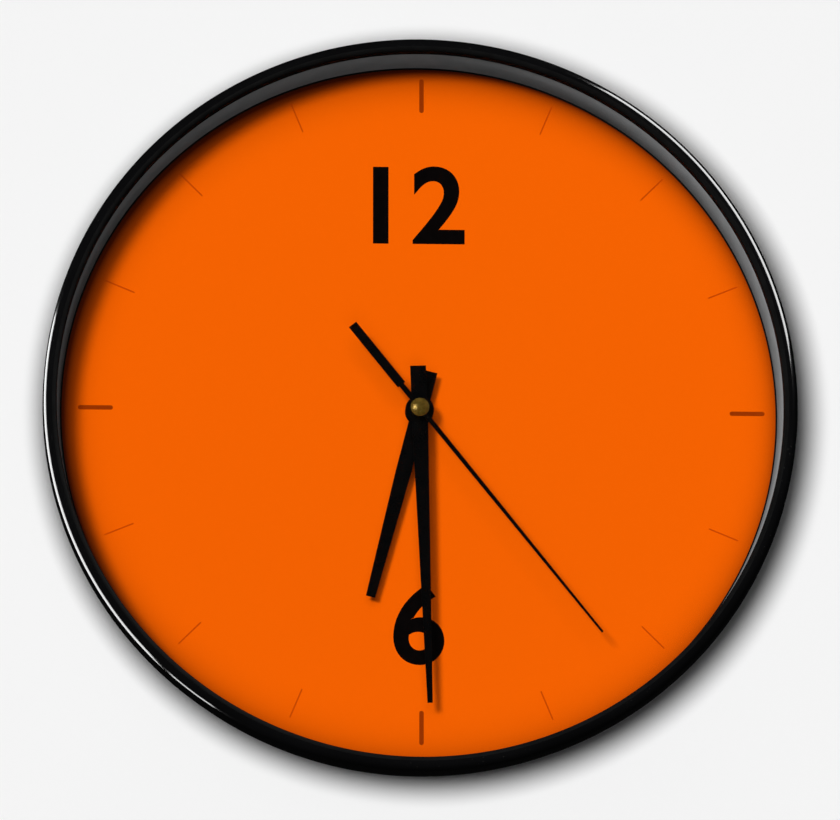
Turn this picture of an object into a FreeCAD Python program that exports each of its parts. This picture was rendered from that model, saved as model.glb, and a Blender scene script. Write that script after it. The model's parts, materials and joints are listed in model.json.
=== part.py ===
import FreeCAD, Part
import math
import os
import re
import Sketcher

# Wall clock, 254 mm across, millimetres. X runs to the right seen from the front, Z up.
# The wall is the plane y = 0 and the hands turn about the Y axis.
# A "level" is the distance in front of the wall, so it is the same as -y.

Vector = FreeCAD.Vector
document = FreeCAD.newDocument("WallClock")

dimensions = {
    # case, dial and bezel; radii are worked inward from the clock's own
    "clockRadius": 127.0,
    "bezelWall": 3.5,
    "skirtEndWall": 1.0,
    "lipOverlap": 1.2,
    "lipRound": 1.65,
    "lipHeight": 3.5,
    "lensThickness": 1.5,
    "revealDepth": 13.0,
    "revealBaseWall": 2.5,
    "revealFrontWall": 1.1,
    "sideBandRise": 8.5,
    "spigotLength": 3.0,
    "beadHeight": 0.25,
    "beadLength": 0.8,
    "beadStep": 0.9,
    "caseFit": 0.1,
    "caseWall": 2.4,
    "caseTaper": 5.6,
    "caseRearRound": 1.0,
    "dialThickness": 0.4,
    "dialInset": 0.6,
    "plateThickness": 2.1,
    # ribs behind the dial plate
    "ribCount": 8,
    "ribHeight": 4.0,
    "ribThickness": 1.6,
    "ribRingGap": 16.0,
    "ribRingWall": 1.6,
    "ribStartAngle": 22.5,
    # keyhole for the nail or screw in the wall
    "hangerThickness": 2.5,
    "hangerHalfWidth": 13.0,
    "hangerHeight": 26.4,
    "hangerRimOverlap": 0.9,
    "keyholeDrop": 18.4,
    "keyholeRadius": 4.5,
    "keyholeSlotHalf": 2.1,
    "keyholeSlotLength": 8.0,
    "hangerWebThickness": 2.0,
    # movement housing
    "housingRound": 2.0,
    "housingWall": 1.2,
    "housingTopGap": 2.2,
    "bushingWall": 1.31,
    "bushingStand": 1.0,
    "earReach": 6.8,
    "earHalfHeight": 4.0,
    "earThickness": 2.0,
    "earStand": 4.0,
    "screwReach": 3.6,
    "screwShankRadius": 1.0,
    "screwHeadRadius": 2.4,
    "screwHeadHeight": 1.6,
    "screwEndGap": 0.7,
    "screwSlotWidth": 0.6,
    "screwSlotDepth": 0.7,
    "screwBossRadius": 3.0,
    "screwHoleGap": 0.3,
    "threadGap": 0.02,
    "pilotFloor": 1.2,
    "hookWidth": 6.0,
    "hookThickness": 1.1,
    "hookLength": 6.0,
    "hookDrop": 13.0,
    "hookRise": 8.0,
    "hookGap": 0.05,
    # battery bay, one penlight cell
    "batteryRadius": 7.25,
    "batteryLength": 49.2,
    "batteryNubRadius": 2.75,
    "batteryNubLength": 1.3,
    "batteryGap": 0.25,
    "contactThickness": 0.4,
    "contactWidth": 8.0,
    "contactArmWidth": 2.6,
    "springReach": 1.6,
    "springGap": 0.1,
    "springHalfHeight": 5.0,
    "contactWallGap": 0.2,
    # train bridge; its edges keep a margin round the arbors
    "bridgeThickness": 1.0,
    "bridgeLeftMargin": 3.8,
    "bridgeRightMargin": 5.7,
    "bridgeBottomMargin": 3.0,
    "bridgeTopMargin": 1.9,
    "bridgePostInset": 1.9,
    "bridgePostRise": 8.7,
    "bridgeWallGap": 0.4,
    "postRadius": 1.5,
    "pinRadius": 0.7,
    "pinStand": 0.4,
    # running fits of the train
    "runningGap": 0.03,
    "pivotRadius": 0.25,
    "pivotLength": 0.8,
    "arborRadius": 0.5,
    "hubRadius": 1.1,
    "bearingRadius": 1.0,
    # tooth forms as shares of the module and of the tooth pitch
    "pinionHeightShare": 0.9,
    "wheelHeightShare": 0.8,
    "toothDepthShare": 1.15,
    "toothTipShare": 0.17,
    "toothRootShare": 0.5,
    # teeth and modules
    "pinionTeeth": 8,
    "rotorModule": 0.22,
    "intermediateTeeth": 48,
    "secondsModule": 0.35,
    "secondsTeeth": 40,
    "thirdModule": 0.25,
    "thirdTeeth": 60,
    "centreTeeth": 64,
    "cannonTeeth": 12,
    "minuteModule": 0.3,
    "minuteTeeth": 36,
    "hourTeeth": 32,
    # directions of the arbors in the movement, degrees from +X towards +Z
    "intermediateAngle": 40.0,
    "rotorAngle": 60.0,
    "thirdAngle": 150.0,
    "minuteAngle": 205.0,
    "settingAngle": 215.0,
    # axial stack of the train, from the wall forward
    "wheelThickness": 0.7,
    "pinionThickness": 1.5,
    "bearingHeight": 0.7,
    "secondsGap": 0.8,
    "thirdGap": 1.4,
    "centreGap": 1.4,
    "bridgeGap": 0.7,
    "hourGap": 0.9,
    "floorGap": 0.5,
    "arborSink": 0.4,
    # pipes that carry the hands
    "centrePipeRadius": 1.0,
    "cannonPipeRadius": 1.6,
    "hourPipeRadius": 2.4,
    "centrePipeSink": 0.5,
    "pipeStand": 0.2,
    "arborStand": 0.8,
    # setting knob
    "knobRadius": 4.0,
    "knobWallGap": 0.5,
    "knobThickness": 1.3,
    "knobCoverGap": 0.2,
    "knobShaftRadius": 1.5,
    "knobPivotRadius": 0.7,
    "knobGripCount": 16,
    "knobGripRadius": 0.3,
    # stepping motor
    "magnetRadius": 2.4,
    "magnetThickness": 2.2,
    "magnetRise": 1.0,
    "statorThickness": 1.0,
    "statorLeftReach": 7.1,
    "statorWallGap": 2.185,
    "statorLegHalf": 3.0,
    "statorArm": 3.0,
    "rotorHoleGap": 0.5,
    "windingGap": 2.27,
    "coreHeight": 4.0,
    "coreInset": 0.2,
    "bobbinGap": 0.1,
    "bobbinEndGap": 0.6,
    "bobbinWall": 0.7,
    "flangeThickness": 0.8,
    "flangeRim": 0.6,
    "windingRadius": 4.0,
    "statorPostDrop": 6.5,
    # circuit board
    "boardThickness": 0.8,
    "boardPostHeight": 1.9,
    "boardBridgeGap": 0.57,
    "boardEdgeGap": 0.4,
    "boardPostInset": 3.0,
    "chipWidth": 5.0,
    "chipHeight": 4.0,
    "chipThickness": 1.5,
    "chipOffset": -8.0,
    "crystalRadius": 1.0,
    "crystalLength": 6.0,
    "crystalWallGap": 3.8,
    "leadHalf": 0.15,
    "leadLength": 1.2,
    # hands, stacked forward from the bushing
    "handThickness": 0.5,
    "handEyeRadius": 4.8,
    "colletGap": 0.4,
    "colletRise": 1.8,
    "colletFlangeThickness": 0.6,
    "hourHandAngle": 194.3,
    "hourHandLength": 66.3,
    "hourHandTail": 14.5,
    "hourHandHalf": 2.6,
    "hourHandTipHalf": 1.58,
    "hourHandTaperStart": 22.0,
    "hourColletWall": 0.6,
    "hourColletFlange": 1.3,
    "minuteHandAngle": 178.0,
    "minuteHandRimGap": 19.4,
    "minuteHandTail": 15.2,
    "minuteHandHalf": 2.65,
    "minuteHandTipHalf": 0.88,
    "minuteHandTaperStart": 6.0,
    "minuteColletGap": 0.7,
    "minuteColletWall": 0.6,
    "minuteColletFlange": 1.8,
    "secondHandThickness": 0.4,
    "secondHandAngle": 141.5,
    "secondHandRimGap": 22.3,
    "secondHandHalf": 0.8,
    "secondHandTipHalf": 0.35,
    "secondHandEyeRadius": 2.6,
    "secondHandNeckHalf": 0.9,
    "secondHandNeckLength": 10.0,
    "secondHandTail": 36.5,
    "secondHandTailHalf": 1.55,
    "secondTubeWall": 0.45,
    "secondTubeFlange": 1.35,
    "secondTubeGap": 0.9,
    "secondTubeRise": 1.3,
    "capRadius": 3.15,
    "capHeight": 1.9,
    "capRimHeight": 0.5,
}

sizes = document.addObject("Spreadsheet::Sheet", "Sizes")
for row, (sizeName, sizeValue) in enumerate(dimensions.items(), 1):
    sizes.set("A%d" % row, sizeName)
    sizes.set("B%d" % row, str(sizeValue))
    sizes.setAlias("B%d" % row, sizeName)
document.recompute()

# lengths that several pieces share, worked out from the sizes above
shared = {}


def spell_out(text):
    # Replace the shared lengths in a formula by their own formulas.
    return re.sub(r"[A-Za-z]\w*", lambda word: shared.get(word.group(0), word.group(0)), str(text))


def share(name, text):
    shared[name] = "(" + spell_out(text) + ")"


# axial stack of the movement, then of case, dial and hands
share("knobLevel", "knobWallGap")
share("knobTop", "knobLevel + knobThickness")
share("housingRearLevel", "knobTop + knobCoverGap")
share("coverInner", "housingRearLevel + housingWall")
share("pinionOverhang", "(pinionThickness - wheelThickness) / 2")
share("intermediateLevel", "coverInner + bearingHeight")
share("rotorPinionLevel", "intermediateLevel - pinionOverhang")
share("secondsLevel", "intermediateLevel + wheelThickness + secondsGap")
share("intermediatePinionLevel", "secondsLevel - pinionOverhang")
share("thirdLevel", "secondsLevel + wheelThickness + thirdGap")
share("secondsPinionLevel", "thirdLevel - pinionOverhang")
share("centreLevel", "thirdLevel + wheelThickness + centreGap")
share("thirdPinionLevel", "centreLevel - pinionOverhang")
share("bridgeLevel", "centreLevel + wheelThickness + bridgeGap")
share("bridgeFront", "bridgeLevel + bridgeThickness")
share("cannonLevel", "bridgeFront + bridgeGap")
share("cannonTop", "cannonLevel + pinionThickness")
share("minuteLevel", "cannonLevel + pinionOverhang")
share("hourLevel", "cannonTop + hourGap")
share("minutePinionLevel", "hourLevel - pinionOverhang")
share("floorRear", "hourLevel + wheelThickness + floorGap")
share("arborRearLevel", "coverInner - arborSink")
share("magnetLevel", "secondsLevel + magnetRise")
share("statorLevel", "magnetLevel + (magnetThickness - statorThickness) / 2")
share("plateRear", "floorRear + housingWall")
share("dialSeat", "plateRear + plateThickness")
share("dialLevel", "dialSeat + dialThickness")
share("earFront", "plateRear - earStand")
share("boardLevel", "floorRear - boardPostHeight - boardThickness")
share("skirtEndLevel", "dialSeat - spigotLength")
share("sideBandLevel", "dialLevel + sideBandRise")
share("lensLevel", "dialLevel + revealDepth")
share("lipLevel", "lensLevel + lensThickness")
share("frontLevel", "lipLevel + lipHeight")
share("centrePipeLevel", "dialLevel - centrePipeSink")
share("bushingLevel", "dialLevel + bushingStand")
share("hourColletLevel", "bushingLevel + colletGap")
share("hourHandLevel", "hourColletLevel + colletRise")
share("hourPipeLevel", "hourHandLevel + handThickness + pipeStand")
share("minuteColletLevel", "hourPipeLevel + minuteColletGap")
share("minuteHandLevel", "minuteColletLevel + colletRise")
share("cannonPipeLevel", "minuteHandLevel + handThickness + pipeStand")
share("secondTubeLevel", "cannonPipeLevel + secondTubeGap")
share("secondHandLevel", "secondTubeLevel + secondTubeRise")
share("arborFrontLevel", "secondHandLevel + secondHandThickness + arborStand")

# radii of the case, worked inward
share("boreRadius", "clockRadius - bezelWall")
share("spigotRadius", "boreRadius - caseFit")
share("skirtEndRadius", "boreRadius + skirtEndWall")
share("lipRadius", "boreRadius - lipOverlap")
share("revealBaseRadius", "spigotRadius - revealBaseWall")
share("revealFrontRadius", "spigotRadius - revealFrontWall")
share("dialRadius", "spigotRadius - dialInset")
share("caseRearRadius", "skirtEndRadius - caseTaper")
share("hangerTop", "caseRearRadius - caseWall + hangerRimOverlap")
share("hangerLow", "hangerTop - hangerHeight")
share("keyholeHeight", "hangerTop - keyholeDrop")
share("keyholeSlotTop", "keyholeHeight + keyholeSlotLength")
share("minuteHandLength", "revealBaseRadius - minuteHandRimGap")
share("secondHandLength", "revealBaseRadius - secondHandRimGap")

# arbors of the train and the outline of the movement
share("intermediateDistance", "secondsModule * (pinionTeeth + secondsTeeth) / 2")
share("rotorDistance", "rotorModule * (pinionTeeth + intermediateTeeth) / 2")
share("thirdDistance", "thirdModule * (pinionTeeth + thirdTeeth) / 2")
share("minuteDistance", "minuteModule * (cannonTeeth + minuteTeeth) / 2")
share("intermediateX", "intermediateDistance * cos(intermediateAngle)")
share("intermediateZ", "intermediateDistance * sin(intermediateAngle)")
share("rotorX", "intermediateX + rotorDistance * cos(rotorAngle)")
share("rotorZ", "intermediateZ + rotorDistance * sin(rotorAngle)")
share("thirdX", "thirdDistance * cos(thirdAngle)")
share("thirdZ", "thirdDistance * sin(thirdAngle)")
share("minuteX", "minuteDistance * cos(minuteAngle)")
share("minuteZ", "minuteDistance * sin(minuteAngle)")
share("settingX", "minuteX + minuteDistance * cos(settingAngle)")
share("settingZ", "minuteZ + minuteDistance * sin(settingAngle)")
share("bridgeLeft", "settingX - bridgeLeftMargin")
share("bridgeRight", "rotorX + bridgeRightMargin")
share("bridgeBottom", "settingZ - bridgeBottomMargin")
share("bridgeTop", "rotorZ + bridgeTopMargin")
share("bayTop", "bridgeBottom - bridgeWallGap - housingWall")
share("batteryHeight", "bayTop - batteryGap - batteryRadius")
share("batteryLevel", "floorRear - batteryGap - batteryRadius")
share("housingBottom", "batteryHeight - batteryRadius - batteryGap - housingWall")
share("cellSpace", "batteryLength + batteryNubLength + springReach + springGap")
share("housingInner", "(cellSpace + 2 * contactThickness + 3 * contactWallGap) / 2")
share("housingHalf", "housingInner + housingWall")
share("screwOffset", "housingHalf + screwReach")
share("ribRingRadius", "housingHalf + ribRingGap")
share("statorLeft", "rotorX - statorLeftReach")
share("statorRight", "housingInner - statorWallGap")
share("coilHeight", "rotorZ + statorLegHalf + windingGap + windingRadius")
share("statorTop", "coilHeight + coreHeight / 2")
share("flangeHalf", "windingRadius + flangeRim")
share("housingTop", "coilHeight + flangeHalf + housingTopGap + housingWall")
share("boardBottom", "bridgeTop + boardBridgeGap")
share("boardTop", "housingTop - housingWall - boardEdgeGap")
share("bushingRadius", "hourPipeRadius + 3 * runningGap + bushingWall")
share("secondTubeRadius", "arborRadius + secondTubeWall")


def formula(text):
    # Spell a length out as an expression on the sheet's cells.
    return re.sub(
        r"[A-Za-z]\w*",
        lambda word: "Sizes." + word.group(0) if word.group(0) in dimensions else word.group(0),
        spell_out(text),
    )


def measure(text):
    return float(sizes.evalExpression(formula(text)))


def bind(thing, property_name, text):
    thing.setExpression(property_name, formula(text))


nodes = []


def keep(thing, label):
    # Name a finished sub-part and list it for export.
    thing.Label = label
    nodes.append(thing)
    return thing


# sketches and features of a body


def new_body(label):
    return keep(document.addObject("PartDesign::Body", label), label)


def sketch_on(body, role):
    sketch = body.newObject("Sketcher::SketchObject", "Outline")
    plane = next(item for item in body.Origin.OriginFeatures if item.Role == role)
    sketch.AttachmentSupport = [(plane, "")]
    sketch.MapMode = "FlatFace"
    return sketch


def level_sketch(body, level):
    # A sketch parallel to the wall, at a distance in front of it.
    sketch = sketch_on(body, "XZ_Plane")
    bind(sketch, "AttachmentOffset.Base.z", level)
    return sketch


def place_point(sketch, element, point, across, up):
    for kind, text in (("DistanceX", across), ("DistanceY", up)):
        index = sketch.addConstraint(Sketcher.Constraint(kind, -1, 1, element, point, measure(text)))
        bind(sketch, "Constraints[%d]" % index, text)


def arc_between(start, end, radius, side):
    # The short arc from start to end, its centre to the left (1) or right (-1) of the chord.
    chord = end - start
    rise = math.sqrt(max(radius**2 - (chord.Length / 2) ** 2, 0))
    normal = Vector(-chord.y, chord.x, 0).normalize()
    centre = (start + end) / 2 + normal * rise * side
    middle = centre - normal * radius * side
    return Part.Arc(start, middle, end)


def polygon(sketch, points, rounds=None):
    # A closed outline; rounds gives the radius and side of the arcs that start at some points.
    rounds = rounds or {}
    corners = [Vector(measure(across), measure(up), 0) for across, up in points]
    count = len(corners)
    elements = []
    for index, corner in enumerate(corners):
        following = corners[(index + 1) % count]
        if index in rounds:
            radius, side = rounds[index]
            edge = arc_between(corner, following, measure(radius), side)
        else:
            edge = Part.LineSegment(corner, following)
        elements.append(sketch.addGeometry(edge, False))
    ends = []
    for index, element in enumerate(elements):
        clockwise_arc = index in rounds and rounds[index][1] < 0
        ends.append((2, 1) if clockwise_arc else (1, 2))
    for index, element in enumerate(elements):
        following = (index + 1) % count
        joint = (element, ends[index][1], elements[following], ends[following][0])
        sketch.addConstraint(Sketcher.Constraint("Coincident", *joint))
        place_point(sketch, element, ends[index][0], *points[index])
        if index in rounds:
            radius = rounds[index][0]
            size = sketch.addConstraint(Sketcher.Constraint("Radius", element, measure(radius)))
            bind(sketch, "Constraints[%d]" % size, radius)


def rectangle(sketch, left, bottom, right, top):
    polygon(sketch, [(left, bottom), (right, bottom), (right, top), (left, top)])


def housing_outline(sketch, inset, radius):
    # The movement housing's rounded rectangle, drawn in by an inset.
    left, right = "-(housingHalf - %s)" % inset, "(housingHalf - %s)" % inset
    bottom, top = "(housingBottom + %s)" % inset, "(housingTop - %s)" % inset
    points = [
        ("%s + %s" % (left, radius), bottom),
        ("%s - %s" % (right, radius), bottom),
        (right, "%s + %s" % (bottom, radius)),
        (right, "%s - %s" % (top, radius)),
        ("%s - %s" % (right, radius), top),
        ("%s + %s" % (left, radius), top),
        (left, "%s - %s" % (top, radius)),
        (left, "%s + %s" % (bottom, radius)),
    ]
    corner = (radius, 1)
    polygon(sketch, points, {1: corner, 3: corner, 5: corner, 7: corner})


def circle(sketch, across, up, radius):
    centre = Vector(measure(across), measure(up), 0)
    element = sketch.addGeometry(Part.Circle(centre, Vector(0, 0, 1), measure(radius)), False)
    index = sketch.addConstraint(Sketcher.Constraint("Radius", element, measure(radius)))
    bind(sketch, "Constraints[%d]" % index, radius)
    place_point(sketch, element, 3, across, up)


def pad(body, sketch, length):
    # Grow the outline forward, away from the wall.
    feature = body.newObject("PartDesign::Pad", "Pad")
    feature.Profile = sketch
    bind(feature, "Length", length)
    return feature


def pocket(body, sketch, length):
    # Cut the outline towards the wall.
    feature = body.newObject("PartDesign::Pocket", "Pocket")
    feature.Profile = sketch
    bind(feature, "Length", length)
    return feature


def revolve(body, points, rounds=None):
    # Turn an outline of radius and level about the hand axis.
    sketch = sketch_on(body, "XY_Plane")
    polygon(sketch, [(radius, "-(%s)" % level) for radius, level in points], rounds)
    feature = body.newObject("PartDesign::Revolution", "Revolution")
    feature.Profile = sketch
    feature.ReferenceAxis = (sketch, ["V_Axis"])
    return feature


def pad_circle(body, across, up, radius, low, high):
    sketch = level_sketch(body, low)
    circle(sketch, across, up, radius)
    return pad(body, sketch, "(%s) - (%s)" % (high, low))


def pad_box(body, left, bottom, right, top, low, high):
    sketch = level_sketch(body, low)
    rectangle(sketch, left, bottom, right, top)
    return pad(body, sketch, "(%s) - (%s)" % (high, low))


def drill(body, across, up, radius, low, high):
    sketch = level_sketch(body, high)
    circle(sketch, across, up, radius)
    return pocket(body, sketch, "(%s) - (%s)" % (high, low))


def cut_box(body, left, bottom, right, top, low, high):
    sketch = level_sketch(body, high)
    rectangle(sketch, left, bottom, right, top)
    return pocket(body, sketch, "(%s) - (%s)" % (high, low))


# primitives along the hand axis


def rod(radius, low, high, across="0", up="0"):
    cylinder = document.addObject("Part::Cylinder", "Rod")
    cylinder.Placement = FreeCAD.Placement(Vector(), FreeCAD.Rotation(Vector(1, 0, 0), 90))
    bind(cylinder, "Radius", radius)
    bind(cylinder, "Height", "(%s) - (%s)" % (high, low))
    bind(cylinder, "Placement.Base.x", across)
    bind(cylinder, "Placement.Base.y", "-(%s)" % low)
    bind(cylinder, "Placement.Base.z", up)
    return cylinder


def block(left, bottom, right, top, low, high):
    box = document.addObject("Part::Box", "Block")
    bind(box, "Length", "(%s) - (%s)" % (right, left))
    bind(box, "Width", "(%s) - (%s)" % (high, low))
    bind(box, "Height", "(%s) - (%s)" % (top, bottom))
    bind(box, "Placement.Base.x", left)
    bind(box, "Placement.Base.y", "-(%s)" % high)
    bind(box, "Placement.Base.z", bottom)
    return box


def side_rod(radius, left, right, level, up):
    # A cylinder along X.
    cylinder = document.addObject("Part::Cylinder", "SideRod")
    cylinder.Placement = FreeCAD.Placement(Vector(), FreeCAD.Rotation(Vector(0, 1, 0), 90))
    bind(cylinder, "Radius", radius)
    bind(cylinder, "Height", "(%s) - (%s)" % (right, left))
    bind(cylinder, "Placement.Base.x", left)
    bind(cylinder, "Placement.Base.y", "-(%s)" % level)
    bind(cylinder, "Placement.Base.z", up)
    return cylinder


def fuse(pieces):
    union = document.addObject("Part::MultiFuse", "Union")
    union.Shapes = pieces
    return union


def cut(base, tools):
    result = document.addObject("Part::Cut", "Cut")
    result.Base = base
    result.Tool = tools[0] if len(tools) == 1 else fuse(tools)
    return result


def move_to(thing, across, up):
    bind(thing, "Placement.Base.x", across)
    bind(thing, "Placement.Base.z", up)
    return thing


# gear teeth with straight flanks, flat tips and flat roots


def gear(teeth, module, height_share, low, high, phase):
    # A toothed disc about the Y axis; phase is the direction of one tooth in degrees.
    count = int(round(measure(teeth)))
    size = measure(module)
    pitch_radius = size * count / 2
    tip_radius = pitch_radius + measure(height_share) * size
    root_radius = pitch_radius - measure("toothDepthShare") * size
    half_step = math.pi / count
    tip_half = measure("toothTipShare") * half_step * pitch_radius / tip_radius
    root_half = measure("toothRootShare") * half_step * pitch_radius / root_radius
    corners = []
    for tooth in range(count):
        middle = math.radians(phase) + 2 * half_step * tooth
        for radius, turn in (
            (root_radius, -root_half),
            (tip_radius, -tip_half),
            (tip_radius, tip_half),
            (root_radius, root_half),
        ):
            angle = middle + turn
            corners.append(Vector(radius * math.cos(angle), -measure(low), radius * math.sin(angle)))
    wire = Part.makePolygon(corners + [corners[0]])
    feature = document.addObject("Part::Feature", "Teeth")
    feature.Shape = Part.Face(wire).extrude(Vector(0, measure(low) - measure(high), 0))
    return feature


def wheel(teeth, module, low, phase):
    return gear(teeth, module, "wheelHeightShare", low, "%s + wheelThickness" % low, phase)


def pinion(teeth, module, low, phase, high=None):
    return gear(teeth, module, "pinionHeightShare", low, high or "%s + pinionThickness" % low, phase)


def mate_phase(phase, teeth, mate_teeth, direction):
    # Phase of a mate that lies in this direction, with its gap facing the first gear's tooth.
    turned = (direction - phase) * measure(teeth) / 360
    return direction + 180 - 360 / measure(mate_teeth) * (0.5 - turned)


# case: dish behind the dial, bezel, matte reveal ring, lens and dial


def bead(radius, inward, first):
    # Two ramps and a land of the snap bead or of its groove, as radius and level.
    deep = "%s - (%s)" % (radius, inward)
    ramp = "(beadLength / 4)"
    return [
        (radius, first),
        (deep, "%s + %s" % (first, ramp)),
        (deep, "%s + beadLength - %s" % (first, ramp)),
        (radius, "%s + beadLength" % first),
    ]


def rear_case():
    body = new_body("rear_case")
    spigot = "spigotRadius"
    inner_front = "skirtEndRadius - caseWall"
    inner_rear = "caseRearRadius - caseWall"
    hole = "bushingRadius + caseFit"
    outline = [
        (hole, "plateRear"),
        (inner_front, "plateRear"),
        (inner_rear, "0"),
        ("caseRearRadius - caseRearRound", "0"),
        ("caseRearRadius", "caseRearRound"),
        ("skirtEndRadius", "skirtEndLevel"),
        (spigot, "skirtEndLevel"),
    ]
    outline += bead(spigot, "beadHeight", "skirtEndLevel + beadStep")
    outline += [(spigot, "dialSeat"), (hole, "dialSeat")]
    revolve(body, outline)
    # ring and ribs that stiffen the back of the dial plate
    ring = level_sketch(body, "plateRear - ribHeight")
    circle(ring, "0", "0", "ribRingRadius + ribRingWall")
    circle(ring, "0", "0", "ribRingRadius")
    pad(body, ring, "ribHeight")
    rib = level_sketch(body, "plateRear - ribHeight")
    bind(rib, "AttachmentOffset.Rotation.Angle", "ribStartAngle")
    near, far = "ribRingRadius + ribRingWall / 2", "spigotRadius - caseWall / 2"
    rectangle(rib, near, "-ribThickness / 2", far, "ribThickness / 2")
    first_rib = pad(body, rib, "ribHeight")
    document.recompute()
    ribs = body.newObject("PartDesign::PolarPattern", "Ribs")
    ribs.Originals = [first_rib]
    ribs.Axis = (ring, ["N_Axis"])
    ribs.Angle = 360
    bind(ribs, "Occurrences", "ribCount")
    body.Tip = ribs
    document.recompute()
    # bosses for the two movement screws
    for side in ("-screwOffset", "screwOffset"):
        pad_circle(body, side, "0", "screwBossRadius", "earFront", "plateRear")
        drill(body, side, "0", "screwShankRadius + threadGap", "earFront", "dialSeat - pilotFloor")
    # hanger plate with its two webs
    pad_box(body, "-hangerHalfWidth", "hangerLow", "hangerHalfWidth", "hangerTop", "0", "hangerThickness")
    for left in ("-hangerHalfWidth", "hangerHalfWidth - hangerWebThickness"):
        right = "%s + hangerWebThickness" % left
        pad_box(body, left, "hangerLow", right, "hangerTop", "hangerThickness", "plateRear")
    drill(body, "0", "keyholeHeight", "keyholeRadius", "0", "hangerThickness")
    slot = ("-keyholeSlotHalf", "keyholeHeight", "keyholeSlotHalf", "keyholeSlotTop")
    cut_box(body, *slot, "0", "hangerThickness")
    drill(body, "0", "keyholeSlotTop", "keyholeSlotHalf", "0", "hangerThickness")


def bezel():
    body = new_body("bezel")
    crown = "(lipRadius + lipRound)"
    outer_round = "(clockRadius - lipRadius - lipRound)"
    outline = [("lipRadius", "lipLevel"), ("boreRadius", "lipLevel")]
    outline += list(reversed(bead("boreRadius", "beadHeight", "skirtEndLevel + beadStep")))
    first_round = len(outline) + 3
    outline += [
        ("boreRadius", "skirtEndLevel"),
        ("skirtEndRadius", "skirtEndLevel"),
        ("clockRadius", "sideBandLevel"),
        ("clockRadius", "frontLevel - %s" % outer_round),
        (crown, "frontLevel"),
        ("lipRadius", "frontLevel - lipRound"),
    ]
    # the sketch runs from the front down, so both rounds turn the same way
    revolve(body, outline, {first_round: (outer_round, -1), first_round + 1: ("lipRound", -1)})


def reveal_ring():
    body = new_body("reveal_ring")
    outer = "spigotRadius"
    revolve(
        body,
        [
            ("revealBaseRadius", "dialLevel"),
            (outer, "dialLevel"),
            (outer, "lensLevel"),
            ("revealFrontRadius", "lensLevel"),
        ],
    )


def lens():
    body = new_body("lens")
    pad_circle(body, "0", "0", "spigotRadius", "lensLevel", "lipLevel")


def dial():
    body = new_body("dial")
    pad_circle(body, "0", "0", "dialRadius", "dialSeat", "dialLevel")
    drill(body, "0", "0", "bushingRadius + caseFit", "dialSeat", "dialLevel")


# movement housing


def bridge_posts():
    # Places of the four posts that carry the train bridge.
    left = "bridgeLeft + bridgePostInset"
    right = "bridgeRight - bridgePostInset"
    return [
        (left, "bridgeTop - bridgePostInset"),
        (right, "bridgeTop - bridgePostInset"),
        (right, "bridgeBottom + bridgePostInset"),
        (left, "bridgeBottom + bridgePostRise"),
    ]


def board_posts():
    side = "(housingInner - boardEdgeGap - boardPostInset)"
    return [
        ("-%s" % side, "boardTop - boardPostInset"),
        (side, "boardTop - boardPostInset"),
        ("-%s" % side, "boardBottom + boardPostInset"),
    ]


def movement_base():
    body = new_body("movement_base")
    floor = level_sketch(body, "floorRear")
    housing_outline(floor, "0", "housingRound")
    pad(body, floor, "housingWall")
    walls = level_sketch(body, "coverInner")
    housing_outline(walls, "0", "housingRound")
    housing_outline(walls, "housingWall", "(housingRound - housingWall)")
    pad(body, walls, "floorRear - coverInner")
    # ceiling of the battery bay, short of the side walls where the contacts pass
    ceiling_half = "housingInner - contactThickness - 3 * contactWallGap"
    bay = ("-(%s)" % ceiling_half, "bayTop", ceiling_half, "bayTop + housingWall")
    pad_box(body, *bay, "coverInner", "floorRear")
    # ears for the two screws
    for side in (-1, 1):
        near = "%d * housingHalf" % side
        far = "%d * (housingHalf + earReach)" % side
        left, right = (far, near) if side < 0 else (near, far)
        pad_box(body, left, "-earHalfHeight", right, "earHalfHeight", "earFront - earThickness", "earFront")
        hole = "screwShankRadius + screwHoleGap"
        drill(body, "%d * screwOffset" % side, "0", hole, "earFront - earThickness", "earFront")
    # bushing through the dial plate, open for the hour pipe
    pad_circle(body, "0", "0", "bushingRadius", "plateRear", "bushingLevel")
    drill(body, "0", "0", "hourPipeRadius + 3 * runningGap", "floorRear", "bushingLevel")
    for across, up in bridge_posts():
        pad_circle(body, across, up, "postRadius", "bridgeFront", "floorRear")
        pad_circle(body, across, up, "pinRadius", "bridgeLevel - pinStand", "bridgeFront")
    for across, up in board_posts():
        pad_circle(body, across, up, "postRadius", "boardLevel + boardThickness", "floorRear")
        pad_circle(body, across, up, "pinRadius", "boardLevel - pinStand", "boardLevel + boardThickness")
    # pin of the minute wheel and rest of the setting knob's front pivot
    pad_circle(body, "minuteX", "minuteZ", "pinRadius", "bridgeFront + pinStand", "floorRear")
    rest = "floorRear + housingWall / 2"
    drill(body, "settingX", "settingZ", "knobPivotRadius + runningGap", "floorRear", rest)


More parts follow.
